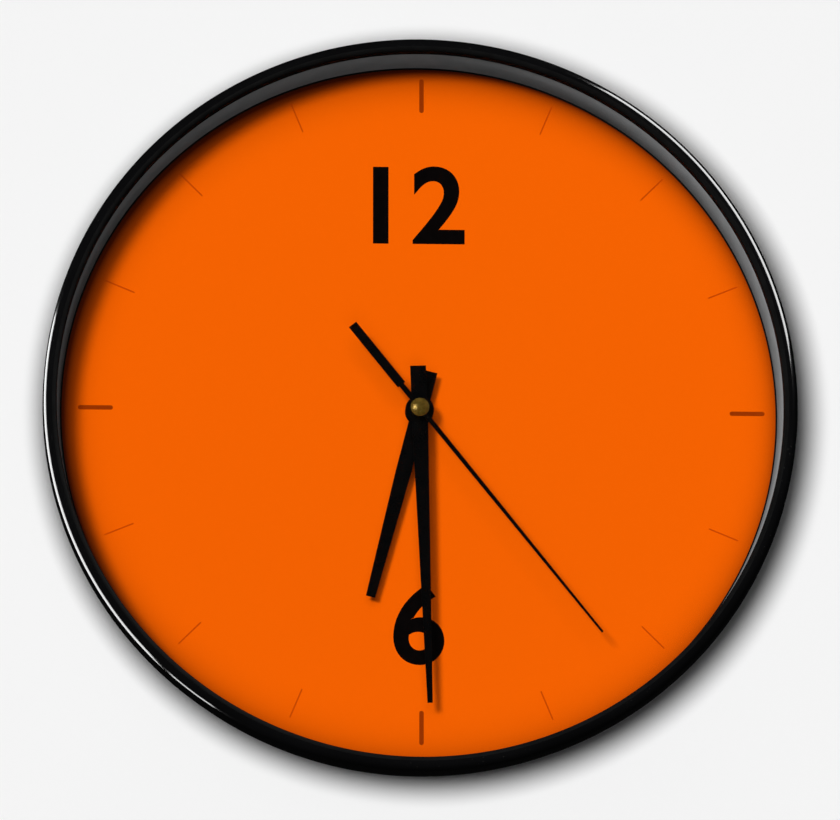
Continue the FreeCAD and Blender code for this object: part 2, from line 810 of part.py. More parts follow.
def movement_cover():
    body = new_body("movement_cover")
    plate = level_sketch(body, "housingRearLevel")
    housing_outline(plate, "0", "housingRound")
    pad(body, plate, "housingWall")
    bay_half = "(housingInner - contactThickness - contactWallGap)"
    bay_bottom = "housingBottom + housingWall"
    cut_box(body, "-%s" % bay_half, bay_bottom, bay_half, "bayTop", "housingRearLevel", "coverInner")
    # bearings of the train: centre, third, intermediate
    for across, up, top in (
        ("0", "0", "secondsLevel - pivotLength / 2"),
        ("thirdX", "thirdZ", "thirdLevel - pivotLength"),
        ("intermediateX", "intermediateZ", "intermediateLevel - pivotLength / 4"),
    ):
        pad_circle(body, across, up, "bearingRadius", "coverInner", top)
    rear = "arborRearLevel - runningGap"
    drill(body, "0", "0", "arborRadius + runningGap", rear, "secondsLevel - pivotLength / 2")
    small = "pivotRadius + runningGap"
    drill(body, "thirdX", "thirdZ", small, "coverInner", "thirdLevel - pivotLength")
    rear = "coverInner - pivotLength"
    drill(body, "intermediateX", "intermediateZ", small, rear, "intermediateLevel - pivotLength / 4")
    drill(body, "rotorX", "rotorZ", small, rear, "coverInner")
    drill(body, "settingX", "settingZ", "knobShaftRadius + 2 * runningGap", "housingRearLevel", "coverInner")
    # two posts that carry the stator
    for across, up in stator_posts():
        pad_circle(body, across, up, "postRadius", "coverInner", "statorLevel")
        pad_circle(body, across, up, "pinRadius", "statorLevel", "statorLevel + statorThickness - runningGap")
    # snap hooks over the sides of the base
    for height in ("(housingTop - hookDrop)", "(housingBottom + hookRise)"):
        for side in (-1, 1):
            near = "%d * (housingHalf + hookGap)" % side
            far = "%d * (housingHalf + hookGap + hookThickness)" % side
            root = "%d * (housingHalf - housingWall)" % side
            left, right = (far, near) if side < 0 else (near, far)
            low, high = "%s - hookWidth / 2" % height, "%s + hookWidth / 2" % height
            pad_box(body, left, low, right, high, "coverInner", "coverInner + hookLength")
            left, right = (far, root) if side < 0 else (root, far)
            pad_box(body, left, low, right, high, "housingRearLevel", "coverInner")


def movement_screws():
    screws = []
    for side in ("-screwOffset", "screwOffset"):
        head_rear = "(earFront - earThickness - screwHeadHeight)"
        head = rod("screwHeadRadius", head_rear, "earFront - earThickness", side)
        screw_end = "dialSeat - pilotFloor - screwEndGap"
        shank = rod("screwShankRadius", "earFront - earThickness", screw_end, side)
        arm = "(screwHeadRadius - screwHeadHeight / 2)"
        wide = "screwSlotWidth / 2"
        deep = "%s + screwSlotDepth" % head_rear
        across = block("%s - %s" % (side, arm), "-" + wide, "%s + %s" % (side, arm), wide, head_rear, deep)
        upright = block("%s - %s" % (side, wide), "-" + arm, "%s + %s" % (side, wide), arm, head_rear, deep)
        screws.append(cut(fuse([head, shank]), [across, upright]))
    group = document.addObject("Part::Compound", "Screws")
    group.Links = screws
    keep(group, "movement_screws")


def train_bridge():
    body = new_body("train_bridge")
    pad_box(body, "bridgeLeft", "bridgeBottom", "bridgeRight", "bridgeTop", "bridgeLevel", "bridgeFront")
    drill(body, "0", "0", "centrePipeRadius + runningGap", "bridgeLevel", "bridgeFront")
    for across, up in (("thirdX", "thirdZ"), ("intermediateX", "intermediateZ"), ("rotorX", "rotorZ")):
        drill(body, across, up, "pivotRadius + runningGap", "bridgeLevel", "bridgeFront")
    drill(body, "settingX", "settingZ", "knobShaftRadius + 2 * runningGap", "bridgeLevel", "bridgeFront")
    for across, up in bridge_posts():
        drill(body, across, up, "pinRadius + runningGap", "bridgeLevel", "bridgeFront")


# battery and contacts


def battery():
    can_end = "(housingInner - 2 * contactWallGap - contactThickness - batteryNubLength)"
    left = "(%s - batteryLength)" % can_end
    can = side_rod("batteryRadius", left, can_end, "batteryLevel", "batteryHeight")
    nub_end = "%s + batteryNubLength" % can_end
    nub = side_rod("batteryNubRadius", can_end, nub_end, "batteryLevel", "batteryHeight")
    keep(fuse([can, nub]), "battery")


def contact(label, side):
    # A strip on the end wall of the bay, with an arm up to the circuit board.
    body = new_body(label)
    outer = "(housingInner - contactWallGap)"
    inner = "(%s - contactThickness)" % outer
    left, right = (inner, outer) if side > 0 else ("-" + outer, "-" + inner)
    top = "boardBottom + 2 * boardPostInset"
    bottom = "batteryHeight - springHalfHeight - contactArmWidth / 2"
    plate_top = "batteryHeight + springHalfHeight + contactArmWidth / 2"
    rear, front = "batteryLevel - contactWidth / 2", "batteryLevel + contactWidth / 2"
    pad_box(body, left, bottom, right, plate_top, rear, front)
    arm_low = "boardLevel - contactArmWidth"
    pad_box(body, left, "batteryHeight", right, top, arm_low, "boardLevel")
    if side < 0:
        # bowed spring leaf that presses on the flat end of the cell
        leaf = level_sketch(body, "batteryLevel - contactWidth / 4")
        tip = "(-%s + springReach)" % inner
        root = "-%s" % inner
        low, high = "batteryHeight - springHalfHeight", "batteryHeight + springHalfHeight"
        points = [
            (root, low),
            (tip, "batteryHeight - springReach / 2"),
            (tip, "batteryHeight + springReach / 2"),
            (root, high),
            (root, "%s - 2 * contactThickness" % high),
            ("%s - contactThickness" % tip, "batteryHeight + springReach / 4"),
            ("%s - contactThickness" % tip, "batteryHeight - springReach / 4"),
            (root, "%s + 2 * contactThickness" % low),
        ]
        polygon(leaf, points)
        pad(body, leaf, "contactWidth / 2")


# circuit board with its chip and crystal


def circuit_board():
    body = new_body("circuit_board")
    half = "(housingInner - boardEdgeGap)"
    pad_box(body, "-" + half, "boardBottom", half, "boardTop", "boardLevel", "boardLevel + boardThickness")
    for across, up in board_posts():
        drill(body, across, up, "pinRadius + runningGap", "boardLevel", "boardLevel + boardThickness")


def driver_chip():
    middle = "(boardBottom + boardTop) / 2"
    low, high = "%s - chipHeight / 2" % middle, "%s + chipHeight / 2" % middle
    left, right = "chipOffset - chipWidth / 2", "chipOffset + chipWidth / 2"
    keep(block(left, low, right, high, "boardLevel - chipThickness", "boardLevel"), "driver_chip")


def quartz_crystal():
    middle = "(boardBottom + boardTop) / 2"
    level = "boardLevel - crystalRadius - runningGap"
    left = "(crystalWallGap - housingInner)"
    right = "(%s + crystalLength)" % left
    pieces = [side_rod("crystalRadius", left, right, level, middle)]
    # two square leads run on from the can and bend forward to the board
    for turn in (-1, 1):
        low = "%s + %d * crystalRadius / 2 - leadHalf" % (middle, turn)
        high = "%s + %d * crystalRadius / 2 + leadHalf" % (middle, turn)
        end = "%s + leadLength" % right
        rear = "%s - leadHalf" % level
        pieces.append(block("%s - leadHalf" % right, low, end, high, rear, "%s + leadHalf" % level))
        pieces.append(block("%s - 2 * leadHalf" % end, low, end, high, rear, "boardLevel"))
    keep(fuse(pieces), "quartz_crystal")


# stepping motor


def stator_posts():
    return [
        ("statorLeft + statorArm / 2", "statorTop - statorPostDrop"),
        ("statorRight - statorArm / 2", "rotorZ"),
    ]


def stator():
    body = new_body("stator")
    low, high = "statorLevel", "statorLevel + statorThickness"
    inner_left, inner_right = "statorLeft + statorArm", "statorRight - statorArm"
    leg_top = "rotorZ + statorLegHalf"
    outline = level_sketch(body, low)
    points = [
        ("statorLeft", "rotorZ - statorLegHalf"),
        ("statorRight", "rotorZ - statorLegHalf"),
        ("statorRight", "statorTop"),
        (inner_right, "statorTop"),
        (inner_right, leg_top),
        (inner_left, leg_top),
        (inner_left, "statorTop"),
        ("statorLeft", "statorTop"),
    ]
    polygon(outline, points)
    pad(body, outline, "statorThickness")
    drill(body, "rotorX", "rotorZ", "magnetRadius + rotorHoleGap", low, high)
    for across, up in stator_posts():
        drill(body, across, up, "pinRadius + runningGap", low, high)


def coil():
    # Core bar, bobbin and winding, all about one line along X.
    front = "statorLevel + statorThickness"
    top = "%s + statorThickness" % front
    core_ends = ("statorLeft + coreInset", "statorRight - coreInset")
    core = block(core_ends[0], "statorTop - coreHeight", core_ends[1], "statorTop", front, top)
    keep(core, "coil_core")
    level = "(%s + statorThickness / 2)" % front
    middle = "coilHeight"
    left = "(statorLeft + statorArm + bobbinEndGap)"
    right = "(statorRight - statorArm - bobbinEndGap)"

    def square_tube(half_up, half_deep, first, last):
        low, high = "%s - (%s)" % (middle, half_up), "%s + (%s)" % (middle, half_up)
        rear, front = "%s - (%s)" % (level, half_deep), "%s + (%s)" % (level, half_deep)
        return block(first, low, last, high, rear, front)

    hole_up = "coreHeight / 2 + bobbinGap"
    hole_deep = "statorThickness / 2 + bobbinGap"
    tube = square_tube(hole_up + " + bobbinWall", hole_deep + " + bobbinWall", left, right)
    flanges = [
        square_tube("flangeHalf", "flangeHalf", left, "%s + flangeThickness" % left),
        square_tube("flangeHalf", "flangeHalf", "%s - flangeThickness" % right, right),
    ]
    hole = square_tube(hole_up, hole_deep, "%s - flangeThickness" % left, "%s + flangeThickness" % right)
    keep(cut(fuse([tube] + flanges), [hole]), "coil_bobbin")
    winding = side_rod(
        "windingRadius", "%s + flangeThickness" % left, "%s - flangeThickness" % right, level, middle
    )
    former = square_tube(hole_up + " + bobbinWall", hole_deep + " + bobbinWall", left, right)
    keep(cut(winding, [former]), "coil_winding")


# wheels, listed from the motor to the hands


def train():
    # The going train: rotor, intermediate, seconds, third and centre wheel.
    direction = {name: measure(name + "Angle") for name in ("intermediate", "rotor", "third")}
    # each wheel's phase follows from its mate's, starting with one tooth of each pinion on its line
    rotor_phase = direction["rotor"] + 180
    intermediate_phase = mate_phase(rotor_phase, "pinionTeeth", "intermediateTeeth", direction["rotor"] + 180)
    small_phase = direction["intermediate"] + 180
    seconds_phase = mate_phase(small_phase, "pinionTeeth", "secondsTeeth", direction["intermediate"] + 180)
    leading_phase = direction["third"]
    third_phase = mate_phase(leading_phase, "pinionTeeth", "thirdTeeth", direction["third"])
    third_pinion_phase = direction["third"] + 180
    centre_phase = mate_phase(third_pinion_phase, "pinionTeeth", "centreTeeth", direction["third"] + 180)

    bridge_end = "bridgeFront - runningGap"
    cover_end = "coverInner - pivotLength + runningGap"
    rotor = fuse(
        [
            pinion("pinionTeeth", "rotorModule", "rotorPinionLevel", rotor_phase),
            rod("arborRadius", "rotorPinionLevel", "bridgeLevel - 2 * runningGap"),
            rod("pivotRadius", cover_end, "rotorPinionLevel"),
            rod("pivotRadius", "bridgeLevel - 2 * runningGap", bridge_end),
            rod("magnetRadius", "magnetLevel", "magnetLevel + magnetThickness"),
        ]
    )
    keep(move_to(rotor, "rotorX", "rotorZ"), "rotor")

    pinion_end = "intermediatePinionLevel + pinionThickness"
    intermediate = fuse(
        [
            wheel("intermediateTeeth", "rotorModule", "intermediateLevel", intermediate_phase),
            rod("hubRadius", "intermediateLevel", "intermediatePinionLevel"),
            pinion("pinionTeeth", "secondsModule", "intermediatePinionLevel", small_phase),
            rod("arborRadius", pinion_end, "bridgeLevel - 2 * runningGap"),
            rod("pivotRadius", cover_end, "intermediateLevel"),
            rod("pivotRadius", "bridgeLevel - 2 * runningGap", bridge_end),
        ]
    )
    keep(move_to(intermediate, "intermediateX", "intermediateZ"), "intermediate_wheel")

    seconds = fuse(
        [
            wheel("secondsTeeth", "secondsModule", "secondsLevel", seconds_phase),
            pinion("pinionTeeth", "thirdModule", "secondsPinionLevel", leading_phase),
            rod("hubRadius", "secondsLevel", "secondsPinionLevel"),
            rod("arborRadius", "arborRearLevel", "arborFrontLevel"),
        ]
    )
    keep(seconds, "seconds_wheel")

    centre_module = "(thirdModule * (pinionTeeth + thirdTeeth) / (pinionTeeth + centreTeeth))"
    third = fuse(
        [
            wheel("thirdTeeth", "thirdModule", "thirdLevel", third_phase),
            rod("hubRadius", "thirdLevel", "thirdPinionLevel"),
            pinion("pinionTeeth", centre_module, "thirdPinionLevel", third_pinion_phase),
            rod("pivotRadius", "coverInner + runningGap", "thirdLevel"),
            rod("pivotRadius", "thirdPinionLevel + pinionThickness", bridge_end),
        ]
    )
    keep(move_to(third, "thirdX", "thirdZ"), "third_wheel")

    centre = fuse(
        [
            wheel("centreTeeth", centre_module, "centreLevel", centre_phase),
            rod("centrePipeRadius", "centreLevel - runningGap", "centrePipeLevel"),
        ]
    )
    bore = rod("arborRadius + 2 * runningGap", "centreLevel - pivotLength", "centrePipeLevel + pivotLength")
    keep(cut(centre, [bore]), "centre_wheel")


def motion_work():
    # Cannon pinion, minute wheel and hour wheel behind the dial, and the setting pinion.
    line = measure("minuteAngle")
    cannon_phase = line
    minute_phase = mate_phase(cannon_phase, "cannonTeeth", "minuteTeeth", line)
    small_phase = line + 180
    hour_phase = mate_phase(small_phase, "pinionTeeth", "hourTeeth", line + 180)
    setting_phase = mate_phase(minute_phase, "minuteTeeth", "cannonTeeth", measure("settingAngle"))
    hour_module = "(minuteModule * (cannonTeeth + minuteTeeth) / (pinionTeeth + hourTeeth))"

    cannon = fuse(
        [
            pinion("cannonTeeth", "minuteModule", "cannonLevel", cannon_phase),
            rod("cannonPipeRadius", "cannonTop", "cannonPipeLevel"),
        ]
    )
    friction_bore = rod(
        "centrePipeRadius + runningGap", "cannonLevel - pivotLength", "centrePipeLevel + pivotLength"
    )
    arbor_bore = rod("arborRadius + 2 * runningGap", "centrePipeLevel", "cannonPipeLevel + pivotLength")
    keep(cut(cannon, [friction_bore, arbor_bore]), "cannon_pinion")

    minute = fuse(
        [
            wheel("minuteTeeth", "minuteModule", "minuteLevel", minute_phase),
            rod("hubRadius", "minuteLevel", "minutePinionLevel"),
            pinion("pinionTeeth", hour_module, "minutePinionLevel", small_phase),
        ]
    )
    minute_bore = rod("pinRadius + runningGap", "minuteLevel - pivotLength", "floorRear + pivotLength")
    keep(move_to(cut(minute, [minute_bore]), "minuteX", "minuteZ"), "minute_wheel")

    hour = fuse(
        [
            wheel("hourTeeth", hour_module, "hourLevel", hour_phase),
            rod("hourPipeRadius", "cannonTop + pivotLength / 4", "hourPipeLevel"),
        ]
    )
    hour_bore = rod("cannonPipeRadius + 2 * runningGap", "cannonLevel", "hourPipeLevel + pivotLength")
    keep(cut(hour, [hour_bore]), "hour_wheel")

    # knob, shaft and pinion that turn the hands from behind
    disc = rod("knobRadius", "knobLevel", "knobTop")
    grips = []
    for index in range(int(measure("knobGripCount"))):
        angle = 360 * index / measure("knobGripCount")
        grip = rod("knobGripRadius", "knobLevel - pivotLength", "knobTop + pivotLength")
        grips.append(move_to(grip, "knobRadius * cos(%g)" % angle, "knobRadius * sin(%g)" % angle))
    shaft = rod("knobShaftRadius", "knobTop", "cannonLevel")
    pivot = rod("knobPivotRadius", "cannonLevel", "floorRear + housingWall / 2 - runningGap")
    knob = fuse([cut(disc, grips), shaft, pivot])
    keep(move_to(knob, "settingX", "settingZ"), "setting_knob")
    setting = pinion("cannonTeeth", "minuteModule", "cannonLevel", setting_phase)
    hole = rod("knobPivotRadius", "cannonLevel - pivotLength", "floorRear + pivotLength")
    keep(move_to(cut(setting, [hole]), "settingX", "settingZ"), "setting_pinion")


# hands, each drawn pointing up and turned to its place about the hand axis


def turn_hand(body, angle):
    body.Placement = FreeCAD.Placement(Vector(), FreeCAD.Rotation(Vector(0, 1, 0), 1))
    bind(body, "Placement.Rotation.Angle", angle)


def straight_hand(label, prefix, thickness):
    # Tapered strip with a square tip, a parallel tail and a round eye.
    body = new_body(label)
    half, tip = prefix + "Half", prefix + "TipHalf"
    strip = level_sketch(body, prefix + "Level")
    points = [
        ("-" + half, "-%sTail" % prefix),
        (half, "-%sTail" % prefix),
        (half, prefix + "TaperStart"),
        (tip, prefix + "Length"),
        ("-" + tip, prefix + "Length"),
        ("-" + half, prefix + "TaperStart"),
    ]
    polygon(strip, points)
    pad(body, strip, thickness)
    top = "%sLevel + %s" % (prefix, thickness)
    pad_circle(body, "0", "0", "handEyeRadius", prefix + "Level", top)
    return body


def collet(label, inner, outer, flange, low, flange_top, top):
    body = new_body(label)
    flange_low = "%s - colletFlangeThickness" % flange_top
    revolve(
        body,
        [
            (inner, low),
            (outer, low),
            (outer, flange_low),
            (flange, flange_low),
            (flange, flange_top),
            (outer, flange_top),
            (outer, top),
            (inner, top),
        ],
    )


def hands():
    thickness = "handThickness"
    for name in ("hour", "minute"):
        prefix = name + "Hand"
        body = straight_hand(name + "_hand", prefix, thickness)
        level, top = prefix + "Level", "%sLevel + %s" % (prefix, thickness)
        pipe = "hourPipeRadius" if name == "hour" else "cannonPipeRadius"
        sleeve = "(%s + %sColletWall)" % (pipe, name)
        flange = "(%s + %sColletFlange)" % (sleeve, name)
        drill(body, "0", "0", sleeve, level, top)
        turn_hand(body, prefix + "Angle")
        ends = (name + "ColletLevel", level, top + " + runningGap")
        collet(name + "_hand_collet", pipe, sleeve, flange, *ends)

    level, top = "secondHandLevel", "secondHandLevel + secondHandThickness"
    body = new_body("second_hand")
    outline = level_sketch(body, level)
    points = [
        ("-secondHandTailHalf", "-secondHandTail"),
        ("secondHandTailHalf", "-secondHandTail"),
        ("secondHandTailHalf", "-secondHandNeckLength"),
        ("secondHandNeckHalf", "-secondHandNeckLength"),
        ("secondHandNeckHalf", "0"),
        ("secondHandHalf", "0"),
        ("secondHandTipHalf", "secondHandLength"),
        ("-secondHandTipHalf", "secondHandLength"),
        ("-secondHandHalf", "0"),
        ("-secondHandNeckHalf", "0"),
        ("-secondHandNeckHalf", "-secondHandNeckLength"),
        ("-secondHandTailHalf", "-secondHandNeckLength"),
    ]
    polygon(outline, points)
    pad(body, outline, "secondHandThickness")
    pad_circle(body, "0", "0", "secondHandEyeRadius", level, top)
    drill(body, "0", "0", "secondTubeRadius", level, top)
    turn_hand(body, "secondHandAngle")
    flange = "(secondTubeRadius + secondTubeFlange)"
    ends = ("secondTubeLevel", level, "arborFrontLevel")
    collet("second_hand_tube", "arborRadius", "secondTubeRadius", flange, *ends)


def second_hand_cap():
    body = new_body("second_hand_cap")
    low = "(secondHandLevel + secondHandThickness)"
    rim = "(%s + capRimHeight)" % low
    dome = "(capHeight - capRimHeight)"
    # sphere that passes through the rim and the top of the dome
    radius = "((capRadius * capRadius + %s * %s) / (2 * %s))" % (dome, dome, dome)
    bore_top = "(arborFrontLevel + runningGap)"
    bore = "secondTubeRadius"
    outline = [
        ("0", bore_top),
        (bore, bore_top),
        (bore, low),
        ("capRadius", low),
        ("capRadius", rim),
        ("0", "%s + capHeight" % low),
    ]
    revolve(body, outline, {4: (radius, -1)})


rear_case()
bezel()
reveal_ring()
lens()
dial()
movement_base()
movement_cover()
movement_screws()
train_bridge()
battery()
contact("battery_contact_positive", 1)
contact("battery_contact_negative", -1)
circuit_board()
driver_chip()
quartz_crystal()
stator()
coil()
train()
motion_work()
hands()
second_hand_cap()
document.recompute()

failed = [thing.Name for thing in document.Objects if {"Invalid", "Error"} & set(thing.State)]
if failed:
    raise RuntimeError("failed: " + ", ".join(failed))
for node in nodes:
    if node.Shape.isNull() or not node.Shape.isValid():
        raise RuntimeError("bad shape: " + node.Label)

os.makedirs("parts", exist_ok=True)
for node in nodes:
    node.Shape.exportStep(os.path.join("parts", node.Label + ".step"))
print("wrote", len(nodes), "sub-parts")
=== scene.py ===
import json
import math
import bpy
import bmesh
from mathutils import Matrix, Vector


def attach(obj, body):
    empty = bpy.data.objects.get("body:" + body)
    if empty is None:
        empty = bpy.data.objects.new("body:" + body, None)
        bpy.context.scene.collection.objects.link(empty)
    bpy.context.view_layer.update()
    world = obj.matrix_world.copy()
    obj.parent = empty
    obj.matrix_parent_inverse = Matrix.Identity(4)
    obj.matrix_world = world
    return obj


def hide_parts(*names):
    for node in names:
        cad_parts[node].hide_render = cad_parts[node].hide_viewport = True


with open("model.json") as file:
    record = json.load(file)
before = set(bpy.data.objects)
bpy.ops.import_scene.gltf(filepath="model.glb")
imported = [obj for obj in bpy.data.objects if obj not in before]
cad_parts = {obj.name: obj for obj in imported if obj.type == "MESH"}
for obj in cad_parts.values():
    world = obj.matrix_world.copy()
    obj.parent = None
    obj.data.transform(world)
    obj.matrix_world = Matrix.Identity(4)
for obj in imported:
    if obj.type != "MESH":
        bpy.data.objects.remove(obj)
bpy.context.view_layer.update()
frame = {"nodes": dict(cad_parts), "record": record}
nodes = frame["nodes"]
mm = 0.001
mergeGap = 1e-7  # metres within which two vertices are one
upright = Matrix.Rotation(math.pi / 2, 3, "X")  # stands up a shape that lies in XY, to face -Y


# The clock hangs on the wall plane y = 0 and faces -Y. A level is the height above that wall.
def spot(right, up, level):
    return Vector((right * mm, -level * mm, up * mm))


# ---- shader helpers

def setInput(tree, socket, value):
    if isinstance(value, bpy.types.NodeSocket):
        tree.links.new(value, socket)
    else:
        socket.default_value = value


def addNode(tree, kind, inputs=None, **settings):
    made = tree.nodes.new(kind)
    for name, value in settings.items():
        setattr(made, name, value)
    for name, value in (inputs or {}).items():
        setInput(tree, made.inputs[name], value)
    return made


def maths(tree, operation, first, second=0.0, clamp=False):
    made = addNode(tree, "ShaderNodeMath", {0: first, 1: second}, operation=operation,
                   use_clamp=clamp)
    return made.outputs[0]


mixSockets = {"factor": 0, "first": 6, "second": 7, "result": 2}  # of a Mix node for colours


def mixColour(tree, factor, first, second):
    made = addNode(tree, "ShaderNodeMix", data_type="RGBA", blend_type="MIX")
    setInput(tree, made.inputs[mixSockets["factor"]], factor)
    for name, value in (("first", first), ("second", second)):
        isLinked = isinstance(value, bpy.types.NodeSocket)
        setInput(tree, made.inputs[mixSockets[name]], value if isLinked else (*value[:3], 1.0))
    return made.outputs[mixSockets["result"]]


def rangeOf(tree, value, low, high, outLow=0.0, outHigh=1.0, smooth=False):
    made = addNode(tree, "ShaderNodeMapRange", {"Value": value, "From Min": low, "From Max": high,
                                                "To Min": outLow, "To Max": outHigh})
    made.interpolation_type = "SMOOTHSTEP" if smooth else "LINEAR"
    return made.outputs["Result"]


def objectPlace(tree, stretch=(1, 1, 1)):
    coordinates = addNode(tree, "ShaderNodeTexCoord")
    moved = addNode(tree, "ShaderNodeMapping", {"Vector": coordinates.outputs["Object"]},
                    vector_type="POINT")
    moved.inputs["Scale"].default_value = stretch
    return moved.outputs["Vector"]


def newGroup(name, inputs, outputs):
    group = bpy.data.node_groups.new(name, "ShaderNodeTree")
    for label, value in inputs:
        kind = "NodeSocketVector" if value is None else "NodeSocketFloat"
        socket = group.interface.new_socket(name=label, in_out="INPUT", socket_type=kind)
        if value is not None:
            socket.default_value = value
    for label in outputs:
        group.interface.new_socket(name=label, in_out="OUTPUT", socket_type="NodeSocketFloat")
    return group, addNode(group, "NodeGroupInput"), addNode(group, "NodeGroupOutput")


# a group's Size is in millimetres, a texture's Scale in features per metre
def scaleFrom(group, given):
    return maths(group, "DIVIDE", 1.0 / mm, given.outputs["Size"])


# the stretches of a noise value that are spread over the whole range
spans = {"wide": (0.3, 0.7), "middle": (0.35, 0.65), "upper": (0.4, 0.7)}

grainLook = {"detail": 3.0, "roughness": 0.6, "slowScale": 0.09, "slowDetail": 2.0}


# fine moulded or printed grain: two sizes of noise, for height and for broad patches
def makeGrain():
    group, given, out = newGroup(
        "fineGrain", [("Vector", None), ("Size", 1.0), ("Coarse Share", 0.35)],
        ["Height", "Patches"])
    scale = scaleFrom(group, given)
    fine = addNode(group, "ShaderNodeTexNoise",
                   {"Vector": given.outputs["Vector"], "Scale": scale,
                    "Detail": grainLook["detail"], "Roughness": grainLook["roughness"]})
    slow = addNode(group, "ShaderNodeTexNoise",
                   {"Vector": given.outputs["Vector"], "Detail": grainLook["slowDetail"],
                    "Scale": maths(group, "MULTIPLY", scale, grainLook["slowScale"])})
    mixed = maths(group, "MULTIPLY", slow.outputs["Fac"], given.outputs["Coarse Share"])
    kept = maths(group, "SUBTRACT", 1.0, given.outputs["Coarse Share"])
    height = maths(group, "ADD", mixed, maths(group, "MULTIPLY", fine.outputs["Fac"], kept))
    group.links.new(height, out.inputs["Height"])
    group.links.new(slow.outputs["Fac"], out.inputs["Patches"])
    return group


linesLook = {"detail": 4.0, "roughness": 0.65}


# drawn, rolled or brushed lines: noise pulled long by the Mapping node before it
def makeLines():
    group, given, out = newGroup("drawnLines", [("Vector", None), ("Size", 0.2)], ["Height"])
    lines = addNode(group, "ShaderNodeTexNoise",
                    {"Vector": given.outputs["Vector"], "Scale": scaleFrom(group, given),
                     "Detail": linesLook["detail"], "Roughness": linesLook["roughness"]})
    group.links.new(lines.outputs["Fac"], out.inputs["Height"])
    return group


specksLook = {"reach": 0.11, "patchScale": 0.05, "patchFrom": 0.45, "patchTo": 0.7}


# sparse specks of dust, gathered in patches
def makeSpecks():
    group, given, out = newGroup(
        "dustSpecks", [("Vector", None), ("Size", 1.5), ("Amount", 0.5)], ["Mask"])
    scale = scaleFrom(group, given)
    cells = addNode(group, "ShaderNodeTexVoronoi",
                    {"Vector": given.outputs["Vector"], "Scale": scale, "Randomness": 1.0})
    patches = addNode(group, "ShaderNodeTexNoise",
                      {"Vector": given.outputs["Vector"],
                       "Scale": maths(group, "MULTIPLY", scale, specksLook["patchScale"])})
    near = maths(group, "LESS_THAN", cells.outputs["Distance"], specksLook["reach"])
    wide = rangeOf(group, patches.outputs["Fac"], specksLook["patchFrom"], specksLook["patchTo"])
    speck = maths(group, "MULTIPLY", near, wide)
    mask = maths(group, "MULTIPLY", speck, given.outputs["Amount"], clamp=True)
    group.links.new(mask, out.inputs["Mask"])
    return group


grainGroup, linesGroup, specksGroup = makeGrain(), makeLines(), makeSpecks()


def placeGroup(tree, group, inputs):
    made = tree.nodes.new("ShaderNodeGroup")
    made.node_tree = group
    for name, value in inputs.items():
        setInput(tree, made.inputs[name], value)
    return made


def newMaterial(name, colour):
    material = bpy.data.materials.new(name)
    material.use_nodes = True
    material.diffuse_color = (*colour, 1.0)
    tree = material.node_tree
    return material, tree, tree.nodes["Principled BSDF"]


# distance in metres of a shading point from the Y axis, moved aside and above by millimetres
def distanceFromAxis(tree, parts, aside=0.0, above=0.0):
    across = maths(tree, "POWER", maths(tree, "SUBTRACT", parts.outputs["X"], aside * mm), 2.0)
    upward = maths(tree, "POWER", maths(tree, "SUBTRACT", parts.outputs["Z"], above * mm), 2.0)
    return maths(tree, "SQRT", maths(tree, "ADD", across, upward))


# depth is in millimetres
def bumped(tree, shader, height, depth):
    made = addNode(tree, "ShaderNodeBump", {"Height": height, "Distance": depth * mm,
                                            "Strength": 1.0})
    tree.links.new(made.outputs["Normal"], shader.inputs["Normal"])


dust = {"size": 1.4, "colour": (0.5, 0.48, 0.44)}
plasticIor = 1.49


# moulded, painted or printed surface: grain, broad patches of tone and gloss, a little dust
def mouldedFinish(name, colour, tint, grain, depth, gloss, glossChange, dusty=0.0, specular=0.5):
    material, tree, shader = newMaterial(name, colour)
    where = objectPlace(tree)
    texture = placeGroup(tree, grainGroup, {"Vector": where, "Size": grain})
    tone = rangeOf(tree, texture.outputs["Patches"], *spans["wide"])
    shade = mixColour(tree, tone, colour, tint)
    if dusty:
        specks = placeGroup(tree, specksGroup,
                            {"Vector": where, "Size": dust["size"], "Amount": dusty})
        shade = mixColour(tree, specks.outputs["Mask"], shade, dust["colour"])
    tree.links.new(shade, shader.inputs["Base Color"])
    rough = rangeOf(tree, texture.outputs["Height"], *spans["middle"],
                    gloss - glossChange, gloss + glossChange)
    tree.links.new(rough, shader.inputs["Roughness"])
    shader.inputs["Specular IOR Level"].default_value = specular
    shader.inputs["IOR"].default_value = plasticIor
    bumped(tree, shader, texture.outputs["Height"], depth)
    return material


film = {"size": 0.9, "coarse": 0.8}


# bare or plated metal with drawn lines and a thin dull film in places
def metalFinish(name, colour, dull, lines, depth, gloss, glossChange, stretch=(1, 1, 1)):
    material, tree, shader = newMaterial(name, colour)
    where = objectPlace(tree, stretch=stretch)
    drawn = placeGroup(tree, linesGroup, {"Vector": where, "Size": lines})
    patches = placeGroup(tree, grainGroup, {"Vector": objectPlace(tree), "Size": film["size"],
                                            "Coarse Share": film["coarse"]})
    share = rangeOf(tree, patches.outputs["Height"], *spans["upper"])
    tree.links.new(mixColour(tree, share, colour, dull), shader.inputs["Base Color"])
    shader.inputs["Metallic"].default_value = 1.0
    rough = rangeOf(tree, drawn.outputs["Height"], *spans["wide"],
                    gloss - glossChange, gloss + glossChange)
    tree.links.new(rough, shader.inputs["Roughness"])
    bumped(tree, shader, drawn.outputs["Height"], depth)
    return material


# ---- mesh helpers

def newObject(name, bm, materials=()):
    mesh = bpy.data.meshes.new(name)
    bm.to_mesh(mesh)
    bm.free()
    for material in materials:
        mesh.materials.append(material)
    made = bpy.data.objects.new(name, mesh)
    bpy.context.scene.collection.objects.link(made)
    return made


